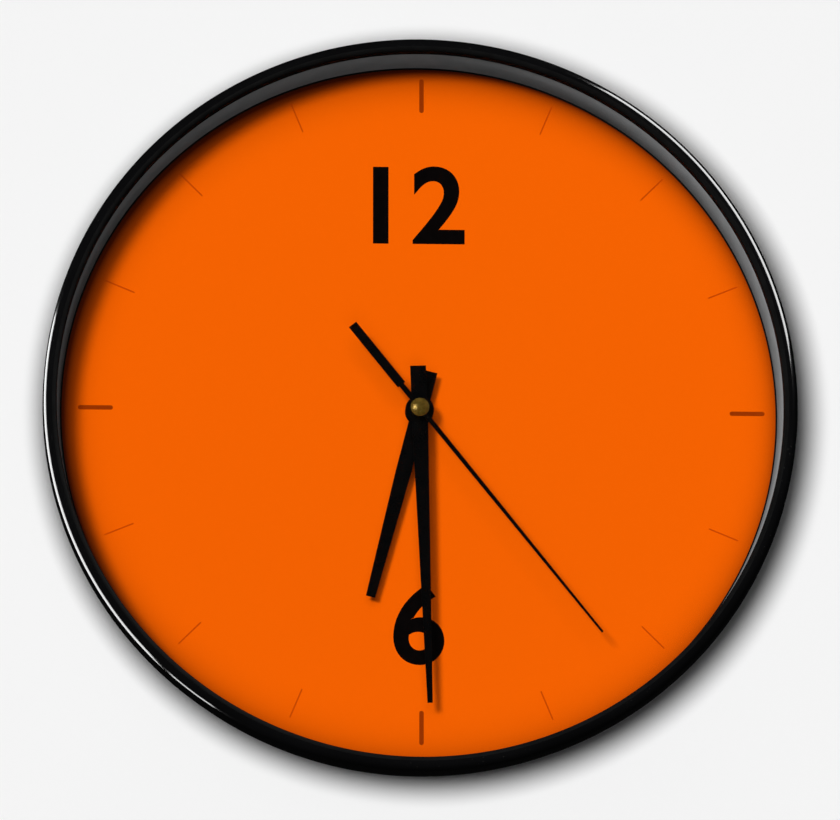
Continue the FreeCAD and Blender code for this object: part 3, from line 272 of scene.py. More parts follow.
# makes a piece of a bmesh; edges sharper than this many degrees stay sharp
def shown(name, bm, materials, body, replaced=(), sharp=35.0):
    bmesh.ops.remove_doubles(bm, verts=bm.verts[:], dist=mergeGap)
    bmesh.ops.recalc_face_normals(bm, faces=bm.faces[:])
    piece = newObject(name, bm, materials)
    piece.data.shade_smooth()
    piece.data.set_sharp_from_angle(angle=math.radians(sharp))
    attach(piece, body)
    if replaced:
        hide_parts(*replaced)
    return piece


def openOutline(bm, places):
    verts = [bm.verts.new(place) for place in places]
    for first, second in zip(verts, verts[1:]):
        bm.edges.new((first, second))
    return verts


# spins all vertices and edges once round an axis through the origin, and closes the poles
def spinRound(bm, axis, steps):
    bmesh.ops.spin(bm, geom=bm.verts[:] + bm.edges[:], cent=(0, 0, 0), axis=axis,
                   dvec=(0, 0, 0), angle=math.tau, steps=steps, use_merge=True,
                   use_duplicate=False)
    bmesh.ops.remove_doubles(bm, verts=bm.verts[:], dist=mergeGap)


def roundCorners(bm, verts, offset, parts):
    return bmesh.ops.bevel(bm, geom=verts, offset=offset * mm, offset_type="OFFSET",
                           segments=parts, profile=0.5, affect="VERTICES", material=-1)


# closed outline of (radius, level) corners, some rounded, spun round the clock's axis
def spunShape(corners, rounds, steps):
    bm = bmesh.new()
    bm.faces.new([bm.verts.new(spot(radius, 0, level)) for radius, level in corners])
    for index, (radius, parts) in rounds.items():
        corner = spot(corners[index][0], 0, corners[index][1])
        vert = min(bm.verts, key=lambda v: (v.co - corner).length)
        roundCorners(bm, [vert], radius, parts)
    bmesh.ops.delete(bm, geom=bm.faces[:], context="FACES_ONLY")
    spinRound(bm, (0, 1, 0), steps)
    return bm


# faces whose outermost corner lies on the given side of a radius get the second material
def secondMaterial(bm, radius, inside):
    for face in bm.faces:
        reach = max(math.hypot(v.co.x, v.co.z) for v in face.verts)
        isSecond = reach < radius * mm if inside else reach > radius * mm
        face.material_index = 1 if isSecond else 0


def thicken(bm, faces, thickness):
    grown = bmesh.ops.extrude_face_region(bm, geom=faces)
    moved = [g for g in grown["geom"] if isinstance(g, bmesh.types.BMVert)]
    bmesh.ops.translate(bm, verts=moved, vec=spot(0, 0, thickness))
    return moved


# flat polygon on a level, its corners rounded, thickened forward
def flatShape(bm, points, level, thickness, rounding, parts):
    verts = [bm.verts.new(spot(right, up, level)) for right, up in points]
    bm.faces.new(verts)
    made = roundCorners(bm, verts, rounding, parts)
    face = max((f for f in bm.faces if any(v in f.verts for v in made["verts"])),
               key=lambda f: f.calc_area())
    moved = thicken(bm, [face], thickness)
    return set(face.verts) | set(moved)


def addDisc(bm, radius, place, steps):
    disc = bmesh.ops.create_circle(bm, cap_ends=True, segments=steps, radius=radius * mm)
    bmesh.ops.rotate(bm, verts=disc["verts"], cent=(0, 0, 0), matrix=upright)
    bmesh.ops.translate(bm, verts=disc["verts"], vec=place)


# an object's mesh after its modifiers, as a bmesh; the object goes
def finalShape(made):
    bpy.context.view_layer.update()
    graph = bpy.context.evaluated_depsgraph_get()
    mesh = bpy.data.meshes.new_from_object(made.evaluated_get(graph))
    bpy.data.objects.remove(made)
    bm = bmesh.new()
    bm.from_mesh(mesh)
    return bm


print("helpers ready")


# ---- camera, stage and lamps

# degrees round and above the clock, metres away, and how many pixels the aim is moved
camera = {"azimuth": -2.3, "elevation": -14.4, "distance": 6.0, "sensor": 36.0, "clipEnd": 60.0,
          "pixelSize": 0.337, "aside": 1.25, "above": 4.7, "dialLevel": 20.0, "width": 840}


def makeCamera():
    turn, rise = math.radians(camera["azimuth"]), math.radians(camera["elevation"])
    back = Vector((math.sin(turn) * math.cos(rise), -math.cos(turn) * math.cos(rise),
                   math.sin(rise)))
    right = Vector((math.cos(turn), math.sin(turn), 0))
    up = back.cross(right)
    pixel = camera["pixelSize"] * mm
    aim = (spot(0, 0, camera["dialLevel"]) + right * camera["aside"] * pixel
           + up * camera["above"] * pixel)
    data = bpy.data.cameras.new("photoCamera")
    data.sensor_width = camera["sensor"]
    data.lens = camera["sensor"] * camera["distance"] / (camera["width"] * pixel)
    data.clip_end = camera["clipEnd"]
    made = bpy.data.objects.new("photoCamera", data)
    made.location = aim + back * camera["distance"]
    made.rotation_mode = "QUATERNION"
    made.rotation_quaternion = (-back).to_track_quat("-Z", "Y")
    bpy.context.scene.collection.objects.link(made)
    bpy.context.scene.camera = made


makeCamera()

# wallGap in millimetres behind the clock, half and floorDrop in metres
stage = {"wallGap": 0.4, "half": 2.4, "floorDrop": 1.75, "colour": (0.905, 0.905, 0.905),
         "grain": 2.0, "change": 0.004, "roughness": 0.9, "toneFrom": 0.2, "toneTo": 0.8}


def stageMaterial():
    material, tree, shader = newMaterial("paleWall", stage["colour"])
    patches = placeGroup(tree, grainGroup, {"Vector": objectPlace(tree), "Size": stage["grain"]})
    tone = rangeOf(tree, patches.outputs["Height"], stage["toneFrom"], stage["toneTo"])
    light = [c * (1 + stage["change"]) for c in stage["colour"]]
    dark = [c * (1 - stage["change"]) for c in stage["colour"]]
    tree.links.new(mixColour(tree, tone, dark, light), shader.inputs["Base Color"])
    shader.inputs["Roughness"].default_value = stage["roughness"]
    shader.inputs["Specular IOR Level"].default_value = 0.0
    # seen from behind, and by shadow rays, the wall lets the light through
    path = addNode(tree, "ShaderNodeLightPath")
    side = addNode(tree, "ShaderNodeNewGeometry")
    through = maths(tree, "MAXIMUM", path.outputs["Is Shadow Ray"], side.outputs["Backfacing"])
    clear = addNode(tree, "ShaderNodeBsdfTransparent")
    mixed = addNode(tree, "ShaderNodeMixShader",
                    {0: through, 1: shader.outputs[0], 2: clear.outputs[0]})
    tree.links.new(mixed.outputs[0], tree.nodes["Material Output"].inputs["Surface"])
    return material


def makeStage():
    material = stageMaterial()
    wallPlace = stage["wallGap"] * mm
    planes = []
    for name, turn, move in (
            ("wallPlane", upright, (0, wallPlace, 0)),
            ("floorPlane", Matrix.Identity(3),
             (0, wallPlace - stage["half"], -stage["floorDrop"]))):
        bm = bmesh.new()
        grid = bmesh.ops.create_grid(bm, x_segments=1, y_segments=1, size=stage["half"])
        bmesh.ops.rotate(bm, verts=grid["verts"], cent=(0, 0, 0), matrix=turn)
        bmesh.ops.translate(bm, verts=grid["verts"], vec=move)
        plane = newObject(name, bm, [material])
        # the black bezel mirrors only the dim room in front of it
        for ray in ("glossy", "diffuse", "transmission"):
            setattr(plane, "visible_" + ray, False)
        planes.append(plane)
    return planes


stagePlanes = makeStage()

# share of the full light, slopes of the lamp to the right and up for each metre forward, softness
lamps = {
    "keyLamp": {"share": 0.62, "slope": (-0.47, 0.25), "soft": 0.24, "on": "clock"},
    "fillLamp": {"share": 0.36, "slope": (-0.20, 0.45), "soft": 0.9, "on": "clock"},
    "lowLamp": {"share": 0.11, "slope": (0.05, -0.7), "soft": 0.6, "on": "clock"},
    "wallLamp": {"share": 0.955, "slope": (0.0, 0.0), "soft": 0.68, "on": "stage"},
}
floorLight = {"share": 0.90, "soft": 0.2}
backLight = {"share": 0.5, "slope": (0.45, 0.5), "soft": 0.9}
# a card close to the wall, unseen by the camera, gives the wall its soft even shadow
shadowCard = {"radius": 131.3, "right": 3.5, "up": 5.4, "level": 16.0, "steps": 128}
# softboxes that only show as reflections: degrees off the clock's axis, turned clockwise from up,
# size in metres along and across the rim at the given distance, and how bright they look
softboxes = {
    "rimLampRight": {"off": 76, "turned": 46, "along": 1.15, "across": 0.8, "far": 1.5,
                     "bright": 15.0, "on": ["bezelRing"]},
    "rimLampLeft": {"off": 100, "turned": 265, "along": 1.85, "across": 0.95, "far": 1.5,
                    "bright": 15.0, "on": ["bezelRing"]},
    "rimGlint": {"off": 100, "turned": 224, "along": 0.26, "across": 0.5, "far": 1.5,
                 "bright": 12.0, "on": ["bezelRing"]},
    "capLamp": {"off": 47, "turned": 278, "along": 0.85, "across": 0.9, "far": 1.5,
                "bright": 36.0, "hidden": ("camera", "diffuse"),
                "on": ["brassCap", "second_hand_tube", "minute_hand_collet",
                       "hour_hand_collet"]},
    "backLampSheen": {"off": 146, "turned": 322, "along": 3.0, "across": 3.0, "far": 1.7,
                      "bright": 1.0, "hidden": ("camera",),
                      "on": ["rear_case", "movement_base", "movement_cover", "movement_screws",
                             "setting_knob", "penlightCell", "battery_contact_positive",
                             "battery_contact_negative"]},
}
room = {"camera": (0.905, 0.905, 0.905), "ambient": 0.03, "mirror": 0.004}


def linkedLights(name, linkState):
    group = bpy.data.collections.new(name)
    for plane in stagePlanes:
        group.objects.link(plane)
    for entry in group.collection_objects:
        entry.light_linking.link_state = linkState
    return group


clockOnly = linkedLights("clockLight", "EXCLUDE")
stageOnly = linkedLights("stageLight", "INCLUDE")


# the card blocks the stage's lamps and lets the clock's pass
def makeShadowCard():
    bm = bmesh.new()
    place = spot(shadowCard["right"], shadowCard["up"], shadowCard["level"])
    addDisc(bm, shadowCard["radius"], place, shadowCard["steps"])
    card = newObject("shadowCard", bm)
    for ray in ("camera", "diffuse", "glossy", "transmission"):
        setattr(card, "visible_" + ray, False)
    casts = bpy.data.collections.new("wallShadow")
    casts.objects.link(card)
    lets = bpy.data.collections.new("clockShadow")
    lets.objects.link(card)
    lets.collection_objects[0].light_linking.link_state = "EXCLUDE"
    return casts, lets


cardCasts, cardLets = makeShadowCard()


# a share of 1 shows a surface square to the lamp at its own colour
def addSun(name, towards, share, soft, receivers):
    data = bpy.data.lights.new(name, "SUN")
    data.energy = math.pi * share
    data.angle = soft
    made = bpy.data.objects.new(name, data)
    made.rotation_mode = "QUATERNION"
    made.rotation_quaternion = towards.to_track_quat("Z", "Y")
    made.visible_glossy = False
    made.visible_transmission = False
    made.light_linking.receiver_collection = receivers
    made.light_linking.blocker_collection = cardCasts if receivers == stageOnly else cardLets
    bpy.context.scene.collection.objects.link(made)


def makeLamps():
    for name, lamp in lamps.items():
        towards = Vector((lamp["slope"][0], -1.0, lamp["slope"][1])).normalized()
        receivers = clockOnly if lamp["on"] == "clock" else stageOnly
        addSun(name, towards, lamp["share"] / -towards.y, lamp["soft"], receivers)
    addSun("floorLamp", Vector((0, 0, 1)), floorLight["share"], floorLight["soft"], stageOnly)
    behind = Vector((backLight["slope"][0], 1.0, backLight["slope"][1])).normalized()
    addSun("backLamp", behind, backLight["share"], backLight["soft"], clockOnly)


makeLamps()


# called once the pieces that they light are made
def addSoftboxes():
    for name, box in softboxes.items():
        off, turned = math.radians(box["off"]), math.radians(box["turned"])
        towards = Vector((math.sin(off) * math.sin(turned), -math.cos(off),
                          math.sin(off) * math.cos(turned)))
        along = Vector((math.cos(turned), 0, -math.sin(turned)))
        across = towards.cross(along)
        data = bpy.data.lights.new(name, "AREA")
        data.shape = "RECTANGLE"
        data.size, data.size_y = box["along"], box["across"]
        data.energy = box["bright"] * math.pi * box["along"] * box["across"]
        made = bpy.data.objects.new(name, data)
        made.rotation_mode = "QUATERNION"
        made.rotation_quaternion = Matrix((along, across, towards)).transposed().to_quaternion()
        made.location = towards * box["far"]
        for ray in box.get("hidden", ("camera", "diffuse", "transmission")):
            setattr(made, "visible_" + ray, False)
        lit = bpy.data.collections.new(name + "Light")
        for piece in box["on"]:
            lit.objects.link(bpy.data.objects[piece])
        made.light_linking.receiver_collection = lit
        bpy.context.scene.collection.objects.link(made)


def makeRoom():
    world = bpy.data.worlds.new("paleRoom")
    bpy.context.scene.world = world
    world.use_nodes = True
    tree = world.node_tree
    sky = tree.nodes["Background"]
    path = addNode(tree, "ShaderNodeLightPath")
    # straight through the lens counts as seen, light gathered by a surface behind it doesn't
    bounces = maths(tree, "ADD", path.outputs["Diffuse Depth"], path.outputs["Glossy Depth"])
    direct = maths(tree, "LESS_THAN", bounces, 0.5)
    through = maths(tree, "MULTIPLY", path.outputs["Is Transmission Ray"], direct)
    seen = maths(tree, "MAXIMUM", path.outputs["Is Camera Ray"], through)
    mirrored = maths(tree, "GREATER_THAN", path.outputs["Glossy Depth"], 0.5)
    unseen = mixColour(tree, mirrored, [room["ambient"]] * 3, [room["mirror"]] * 3)
    tree.links.new(mixColour(tree, seen, unseen, room["camera"]), sky.inputs["Color"])


makeRoom()
bpy.context.scene.view_settings.view_transform = "Standard"
print("camera, stage and lamps ready")


# ---- finishes

# colour and tint of the patches; grain in mm and depth of its bump in mm
mouldedLooks = {
    "bezelPlastic": {"colour": (0.0024, 0.0024, 0.0026), "tint": (0.0034, 0.0034, 0.0037),
                     "grain": 2.6, "depth": 0.0035, "gloss": 0.1, "glossChange": 0.02,
                     "dusty": 0.06},
    "revealPlastic": {"colour": (0.39, 0.39, 0.395), "tint": (0.45, 0.45, 0.455), "grain": 0.5,
                      "depth": 0.06, "gloss": 0.62, "glossChange": 0.08, "specular": 0.25},
    "casePlastic": {"colour": (0.042, 0.042, 0.044), "tint": (0.052, 0.052, 0.054),
                    "grain": 0.45, "depth": 0.05, "gloss": 0.52, "glossChange": 0.08,
                    "dusty": 0.25},
    "housingPlastic": {"colour": (0.024, 0.024, 0.026), "tint": (0.033, 0.033, 0.035),
                       "grain": 0.3, "depth": 0.03, "gloss": 0.46, "glossChange": 0.08,
                       "dusty": 0.15},
    "wheelPlastic": {"colour": (0.80, 0.78, 0.72), "tint": (0.84, 0.82, 0.77), "grain": 0.8,
                     "depth": 0.01, "gloss": 0.42, "glossChange": 0.05},
    "bobbinPlastic": {"colour": (0.83, 0.82, 0.77), "tint": (0.87, 0.86, 0.83), "grain": 0.8,
                      "depth": 0.01, "gloss": 0.38, "glossChange": 0.05},
    "knobPlastic": {"colour": (0.72, 0.045, 0.035), "tint": (0.78, 0.06, 0.045), "grain": 0.7,
                    "depth": 0.012, "gloss": 0.36, "glossChange": 0.05, "dusty": 0.1},
    "chipEpoxy": {"colour": (0.018, 0.018, 0.019), "tint": (0.026, 0.026, 0.027),
                  "grain": 0.15, "depth": 0.01, "gloss": 0.55, "glossChange": 0.08},
    "paneEdge": {"colour": (0.004, 0.004, 0.004), "tint": (0.006, 0.006, 0.006), "grain": 0.4,
                 "depth": 0.01, "gloss": 0.6, "glossChange": 0.06, "specular": 0.02},
    "markInk": {"colour": (0.285, 0.030, 0.0), "tint": (0.30, 0.033, 0.0), "grain": 0.3,
                "depth": 0.006, "gloss": 0.6, "glossChange": 0.05, "specular": 0.03},
    "fineInk": {"colour": (0.52, 0.050, 0.0), "tint": (0.55, 0.055, 0.0), "grain": 0.3,
                "depth": 0.006, "gloss": 0.6, "glossChange": 0.05, "specular": 0.03},
    "numeralInk": {"colour": (0.0015, 0.001, 0.001), "tint": (0.0025, 0.0015, 0.0015),
                   "grain": 0.3, "depth": 0.006, "gloss": 0.6, "glossChange": 0.06,
                   "specular": 0.04},
    "handLacquer": {"colour": (0.0012, 0.0012, 0.0013), "tint": (0.002, 0.002, 0.0021),
                    "grain": 0.6, "depth": 0.004, "gloss": 0.3, "glossChange": 0.05,
                    "dusty": 0.05, "specular": 0.4},
}
# lines and depth in mm; stretch below 1 pulls the lines long
metalLooks = {
    "colletBrass": {"colour": (0.72, 0.50, 0.20), "dull": (0.50, 0.34, 0.13), "lines": 0.15,
                    "depth": 0.004, "gloss": 0.3, "glossChange": 0.08, "stretch": (1, 0.15, 1)},
    "screwSteel": {"colour": (0.62, 0.62, 0.64), "dull": (0.46, 0.45, 0.43), "lines": 0.2,
                   "depth": 0.005, "gloss": 0.33, "glossChange": 0.08},
    "contactSteel": {"colour": (0.72, 0.70, 0.66), "dull": (0.58, 0.56, 0.52), "lines": 0.15,
                     "depth": 0.004, "gloss": 0.26, "glossChange": 0.07,
                     "stretch": (1, 1, 0.1)},
    "crystalCan": {"colour": (0.74, 0.74, 0.72), "dull": (0.6, 0.6, 0.58), "lines": 0.12,
                   "depth": 0.003, "gloss": 0.24, "glossChange": 0.05, "stretch": (0.1, 1, 1)},
    "magnetSteel": {"colour": (0.50, 0.50, 0.51), "dull": (0.36, 0.35, 0.34), "lines": 0.25,
                    "depth": 0.005, "gloss": 0.42, "glossChange": 0.08, "stretch": (0.2, 1, 1)},
    "cellSteel": {"colour": (0.70, 0.70, 0.71), "dull": (0.58, 0.58, 0.58), "lines": 0.3,
                  "depth": 0.003, "gloss": 0.22, "glossChange": 0.05},
}
finish = {name: mouldedFinish(name, **look) for name, look in mouldedLooks.items()}
finish.update({name: metalFinish(name, **look) for name, look in metalLooks.items()})

# viewport is the plain colour that stands for a material outside renders
lensLook = {"viewport": (0.97, 0.98, 0.98), "clear": (0.985, 0.99, 0.988, 1.0), "smear": 6.0,
            "coarse": 0.9, "roughest": 0.012}


# clear acrylic; shadow rays pass, so the lamps reach the dial
def makeLensAcrylic():
    material, tree, shader = newMaterial("lensAcrylic", lensLook["viewport"])
    shader.inputs["Base Color"].default_value = (1.0, 1.0, 1.0, 1.0)
    shader.inputs["Transmission Weight"].default_value = 1.0
    shader.inputs["IOR"].default_value = plasticIor
    smear = placeGroup(tree, grainGroup, {"Vector": objectPlace(tree), "Size": lensLook["smear"],
                                          "Coarse Share": lensLook["coarse"]})
    rough = rangeOf(tree, smear.outputs["Height"], *spans["wide"], 0.0, lensLook["roughest"])
    tree.links.new(rough, shader.inputs["Roughness"])
    path = addNode(tree, "ShaderNodeLightPath")
    clear = addNode(tree, "ShaderNodeBsdfTransparent", {"Color": lensLook["clear"]})
    mixed = addNode(tree, "ShaderNodeMixShader",
                    {0: path.outputs["Is Shadow Ray"], 1: shader.outputs[0], 2: clear.outputs[0]})
    tree.links.new(mixed.outputs[0], tree.nodes["Material Output"].inputs["Surface"])
    return material


# printed card: orange ink over fibre, a little darker towards the bottom
# next to the rim a painted shade of colour rim, deepest towards the upper left where the bezel
# shades the dial
dialLook = {"colour": (0.913, 0.122, 0.0), "low": (0.885, 0.116, 0.0), "rim": (0.11, 0.012, 0.0),
            "paintedShadeEnd": 121.0, "paintedShadePower": 32.0, "paintedShadeAside": 1.3, "lowReach": 110.0, "fibre": 0.35,
            "coarse": 0.2, "mottle": 0.35, "depth": 0.012, "gloss": 0.62, "glossChange": 0.06,
            "specular": 0.03}


def makeDialCard():
    material, tree, shader = newMaterial("dialCard", dialLook["colour"])
    where = objectPlace(tree)
    fibre = placeGroup(tree, grainGroup, {"Vector": where, "Size": dialLook["fibre"],
                                          "Coarse Share": dialLook["coarse"]})
    height = fibre.outputs["Height"]
    parts = addNode(tree, "ShaderNodeSeparateXYZ", {"Vector": where})
    radius = distanceFromAxis(tree, parts, dialLook["paintedShadeAside"], -dialLook["paintedShadeAside"])
    reach = dialLook["lowReach"] * mm
    drop = rangeOf(tree, parts.outputs["Z"], reach, -reach, smooth=True)
    ink = mixColour(tree, drop, dialLook["colour"], dialLook["low"])
    mottle = rangeOf(tree, height, *spans["wide"], 0.0, dialLook["mottle"])
    ink = mixColour(tree, mottle, ink, dialLook["low"])
    # painted shade: darkest at the rim, round a centre moved right and down, so deepest at the
    # upper left
    rimShadeNearness = maths(tree, "DIVIDE", radius, dialLook["paintedShadeEnd"] * mm)
    edge = maths(tree, "POWER", rimShadeNearness, dialLook["paintedShadePower"])
    edge = maths(tree, "MINIMUM", edge, 1.0)
    tree.links.new(mixColour(tree, edge, ink, dialLook["rim"]), shader.inputs["Base Color"])
    rough = rangeOf(tree, height, *spans["wide"], dialLook["gloss"] - dialLook["glossChange"],
                    dialLook["gloss"] + dialLook["glossChange"])
    tree.links.new(rough, shader.inputs["Roughness"])
    shader.inputs["Specular IOR Level"].default_value = dialLook["specular"]
    bumped(tree, shader, height, dialLook["depth"])
    return material


# polished brass of the cap, toned down by old lacquer, with fine turned rings
capLook = {"colour": (0.27, 0.175, 0.03), "dull": (0.18, 0.11, 0.015), "ring": 0.12,
           "ringDepth": 0.0008, "metal": 0.6, "patina": 1.6, "coarse": 0.1, "wornFrom": 0.42,
           "wornTo": 0.62, "smooth": 0.1, "rough": 0.18}


def makeCapBrass():
    material, tree, shader = newMaterial("capBrass", capLook["colour"])
    where = objectPlace(tree)
    parts = addNode(tree, "ShaderNodeSeparateXYZ", {"Vector": where})
    turned = maths(tree, "MULTIPLY", distanceFromAxis(tree, parts),
                   math.tau / (capLook["ring"] * mm))
    rings = maths(tree, "SINE", turned)
    patina = placeGroup(tree, grainGroup, {"Vector": where, "Size": capLook["patina"],
                                           "Coarse Share": capLook["coarse"]})
    height = patina.outputs["Height"]
    worn = rangeOf(tree, height, capLook["wornFrom"], capLook["wornTo"])
    tree.links.new(mixColour(tree, worn, capLook["colour"], capLook["dull"]),
                   shader.inputs["Base Color"])
    shader.inputs["Metallic"].default_value = capLook["metal"]
    rough = rangeOf(tree, height, *spans["middle"], capLook["smooth"], capLook["rough"])
    tree.links.new(rough, shader.inputs["Roughness"])
    bumped(tree, shader, rings, capLook["ringDepth"])
    return material


# enamelled wire laid side by side round the bobbin, whose axis is X
coilLook = {"viewport": (0.60, 0.20, 0.06), "gap": (0.30, 0.07, 0.018),
            "wire": (0.72, 0.27, 0.09), "scale": 1600.0, "distortion": 0.25, "detail": 1.0,
            "detailScale": 4.0, "metal": 0.85, "rough": 0.4, "smooth": 0.24, "depth": 0.04}


def makeCoilCopper():
    material, tree, shader = newMaterial("coilCopper", coilLook["viewport"])
    turns = addNode(tree, "ShaderNodeTexWave",
                    {"Vector": objectPlace(tree), "Scale": coilLook["scale"],
                     "Distortion": coilLook["distortion"], "Detail": coilLook["detail"],
                     "Detail Scale": coilLook["detailScale"]},
                    wave_type="BANDS", bands_direction="X", wave_profile="SIN")
    wire = turns.outputs["Fac"]
    tree.links.new(mixColour(tree, wire, coilLook["gap"], coilLook["wire"]),
                   shader.inputs["Base Color"])
    shader.inputs["Metallic"].default_value = coilLook["metal"]
    rough = rangeOf(tree, wire, 0.0, 1.0, coilLook["rough"], coilLook["smooth"])
    tree.links.new(rough, shader.inputs["Roughness"])
    bumped(tree, shader, wire, coilLook["depth"])
    return material


# phenolic board with paper fibre, and printed tracks on a coarse grid
boardLook = {"viewport": (0.36, 0.22, 0.07), "dark": (0.31, 0.18, 0.055),
             "light": (0.40, 0.25, 0.09), "track": (0.10, 0.16, 0.05), "fibre": 0.5,
             "scale": 180.0, "trackWidth": 0.06, "smooth": 0.1, "offset": 0.35,
             "boardGloss": 0.5, "trackGloss": 0.3, "fibreHeight": 0.2, "depth": 0.03}


def makeBoardLaminate():
    material, tree, shader = newMaterial("boardLaminate", boardLook["viewport"])
    where = objectPlace(tree)
    fibre = placeGroup(tree, grainGroup, {"Vector": where, "Size": boardLook["fibre"]})
    height = fibre.outputs["Height"]
    base = mixColour(tree, rangeOf(tree, height, *spans["wide"]), boardLook["dark"],
                     boardLook["light"])
    tracks = addNode(tree, "ShaderNodeTexBrick",
                     {"Vector": where, "Scale": boardLook["scale"],
                      "Mortar Size": boardLook["trackWidth"], "Mortar Smooth": boardLook["smooth"]},
                     offset=boardLook["offset"])
    track = tracks.outputs["Fac"]
    tree.links.new(mixColour(tree, track, base, boardLook["track"]), shader.inputs["Base Color"])
    rough = rangeOf(tree, track, 0.0, 1.0, boardLook["boardGloss"], boardLook["trackGloss"])
    tree.links.new(rough, shader.inputs["Roughness"])
    raised = maths(tree, "MULTIPLY", height, boardLook["fibreHeight"])
    bumped(tree, shader, maths(tree, "ADD", track, raised), boardLook["depth"])
    return material


# shrink-wrapped jacket of the cell: two plain colours that meet near the positive end
cellLook = {"dark": (0.030, 0.055, 0.16), "band": (0.62, 0.34, 0.12), "bandStart": 13.0,
            "film": 2.2, "coarse": 0.6, "haze": (0.2, 0.2, 0.22), "hazeMost": 0.25,
            "bandMetal": 0.6, "smooth": 0.18, "rough": 0.3, "coat": 0.4, "depth": 0.01}


def makeCellJacket():
    material, tree, shader = newMaterial("cellJacket", cellLook["dark"])
    where = objectPlace(tree)
    parts = addNode(tree, "ShaderNodeSeparateXYZ", {"Vector": where})
    wrap = placeGroup(tree, grainGroup, {"Vector": where, "Size": cellLook["film"],
                                         "Coarse Share": cellLook["coarse"]})
    height = wrap.outputs["Height"]
    band = maths(tree, "GREATER_THAN", parts.outputs["X"], cellLook["bandStart"] * mm)
    shade = mixColour(tree, band, cellLook["dark"], cellLook["band"])
    haze = rangeOf(tree, height, *spans["upper"], 0.0, cellLook["hazeMost"])
    tree.links.new(mixColour(tree, haze, shade, cellLook["haze"]), shader.inputs["Base Color"])
    tree.links.new(maths(tree, "MULTIPLY", band, cellLook["bandMetal"]),
                   shader.inputs["Metallic"])
    rough = rangeOf(tree, height, *spans["wide"], cellLook["smooth"], cellLook["rough"])
    tree.links.new(rough, shader.inputs["Roughness"])
    shader.inputs["Coat Weight"].default_value = cellLook["coat"]
    bumped(tree, shader, height, cellLook["depth"])
    return material


finish.update({"lensAcrylic": makeLensAcrylic(), "dialCard": makeDialCard(),
               "capBrass": makeCapBrass(), "coilCopper": makeCoilCopper(),
               "boardLaminate": makeBoardLaminate(), "cellJacket": makeCellJacket()})
print("finishes ready")


# ---- new pieces

# rounds: (radius, parts) of a corner; the lip's flank inside the radius mattFrom is matt
bezel = {"clockRadius": 126.998, "bore": 123.5, "lip": 122.3, "lipLevel": 34.5, "front": 38.0,
         "skirtEnd": 124.5, "skirtLevel": 16.6, "bandLevel": 28.5, "mattFrom": 123.96,
         "rounds": {0: (0.2, 2), 3: (0.3, 3), 4: (0.8, 3), 5: (3.04, 12), 6: (1.65, 8)},
         "steps": 360}


def makeBezel():
    corners = [(bezel["lip"], bezel["lipLevel"]), (bezel["bore"], bezel["lipLevel"]),
               (bezel["bore"], bezel["skirtLevel"]), (bezel["skirtEnd"], bezel["skirtLevel"]),
               (bezel["clockRadius"], bezel["bandLevel"]),
               (bezel["clockRadius"], bezel["front"]), (bezel["lip"], bezel["front"])]
    bm = spunShape(corners, bezel["rounds"], bezel["steps"])
    # matt, so that the flank doesn't mirror the dial
    secondMaterial(bm, bezel["mattFrom"], inside=True)
    shown("bezelRing", bm, [finish["bezelPlastic"], finish["paneEdge"]], "case",
          ["bezel"])


# the pane's hidden rim is painted black, so it carries no light round its edge
pane = {"radius": 123.4, "clear": 122.3, "low": 33.0, "top": 34.5, "slack": 0.1, "steps": 256}


def makePane():
    corners = [(0.0, pane["low"]), (pane["clear"], pane["low"]), (pane["radius"], pane["low"]),
               (pane["radius"], pane["top"]), (pane["clear"], pane["top"]), (0.0, pane["top"])]
    bm = bmesh.new()
    openOutline(bm, [spot(radius, 0, level) for radius, level in corners])
    spinRound(bm, (0, 1, 0), pane["steps"])
    secondMaterial(bm, pane["clear"] + pane["slack"], inside=False)
    return shown("lensPane", bm, [finish["lensAcrylic"], finish["paneEdge"]], "case",
                 ["lens"], sharp=30)


reveal = {"base": 120.9, "front": 122.3, "outer": 123.4, "dialLevel": 20.0, "lensLevel": 33.0,
          "rounds": {0: (0.25, 2), 3: (0.2, 2)}, "steps": 360}


def makeReveal():
    corners = [(reveal["base"], reveal["dialLevel"]), (reveal["outer"], reveal["dialLevel"]),
               (reveal["outer"], reveal["lensLevel"]), (reveal["front"], reveal["lensLevel"])]
    bm = spunShape(corners, reveal["rounds"], reveal["steps"])
    shown("revealWall", bm, [finish["revealPlastic"]], "case", ["reveal_ring"])


# thin black ring where the dial meets the reveal: painted shade of the contact between them
contactShade = {"inner": 120.4, "outer": 121.0, "low": 20.0, "top": 20.4, "rounds": {3: (0.15, 3)},
        "steps": 256}


def makeContactShade():
    corners = [(contactShade["inner"], contactShade["low"]), (contactShade["outer"], contactShade["low"]),
               (contactShade["outer"], contactShade["top"]), (contactShade["inner"], contactShade["top"])]
    bm = spunShape(corners, contactShade["rounds"], contactShade["steps"])
    shown("dialSeam", bm, [finish["paneEdge"]], "case")


makeBezel()
makeReveal()
makeContactShade()
lensPane = makePane()
# the clock's lamps give the pane no glare, and diffuse rays pass as if it weren't there
clockOnly.objects.link(lensPane)
clockOnly.collection_objects[-1].light_linking.link_state = "EXCLUDE"
lensPane.visible_diffuse = False
print("bezel and reveal made")

# register is how far the print lies right of and above centre; endRound is a share of half
marks = {"level": 20.0, "ink": 0.02, "count": 16, "majorEach": 4, "register": (0.9, 1.3),
         "endRound": 0.96, "endParts": 5}
markSets = {
    "majorMarks": {"major": True, "half": 0.75, "from": 104.0, "to": 115.8, "ink": "markInk"},
    "fineMarks": {"major": False, "half": 0.23, "from": 104.8, "to": 115.5, "ink": "fineInk"},
}


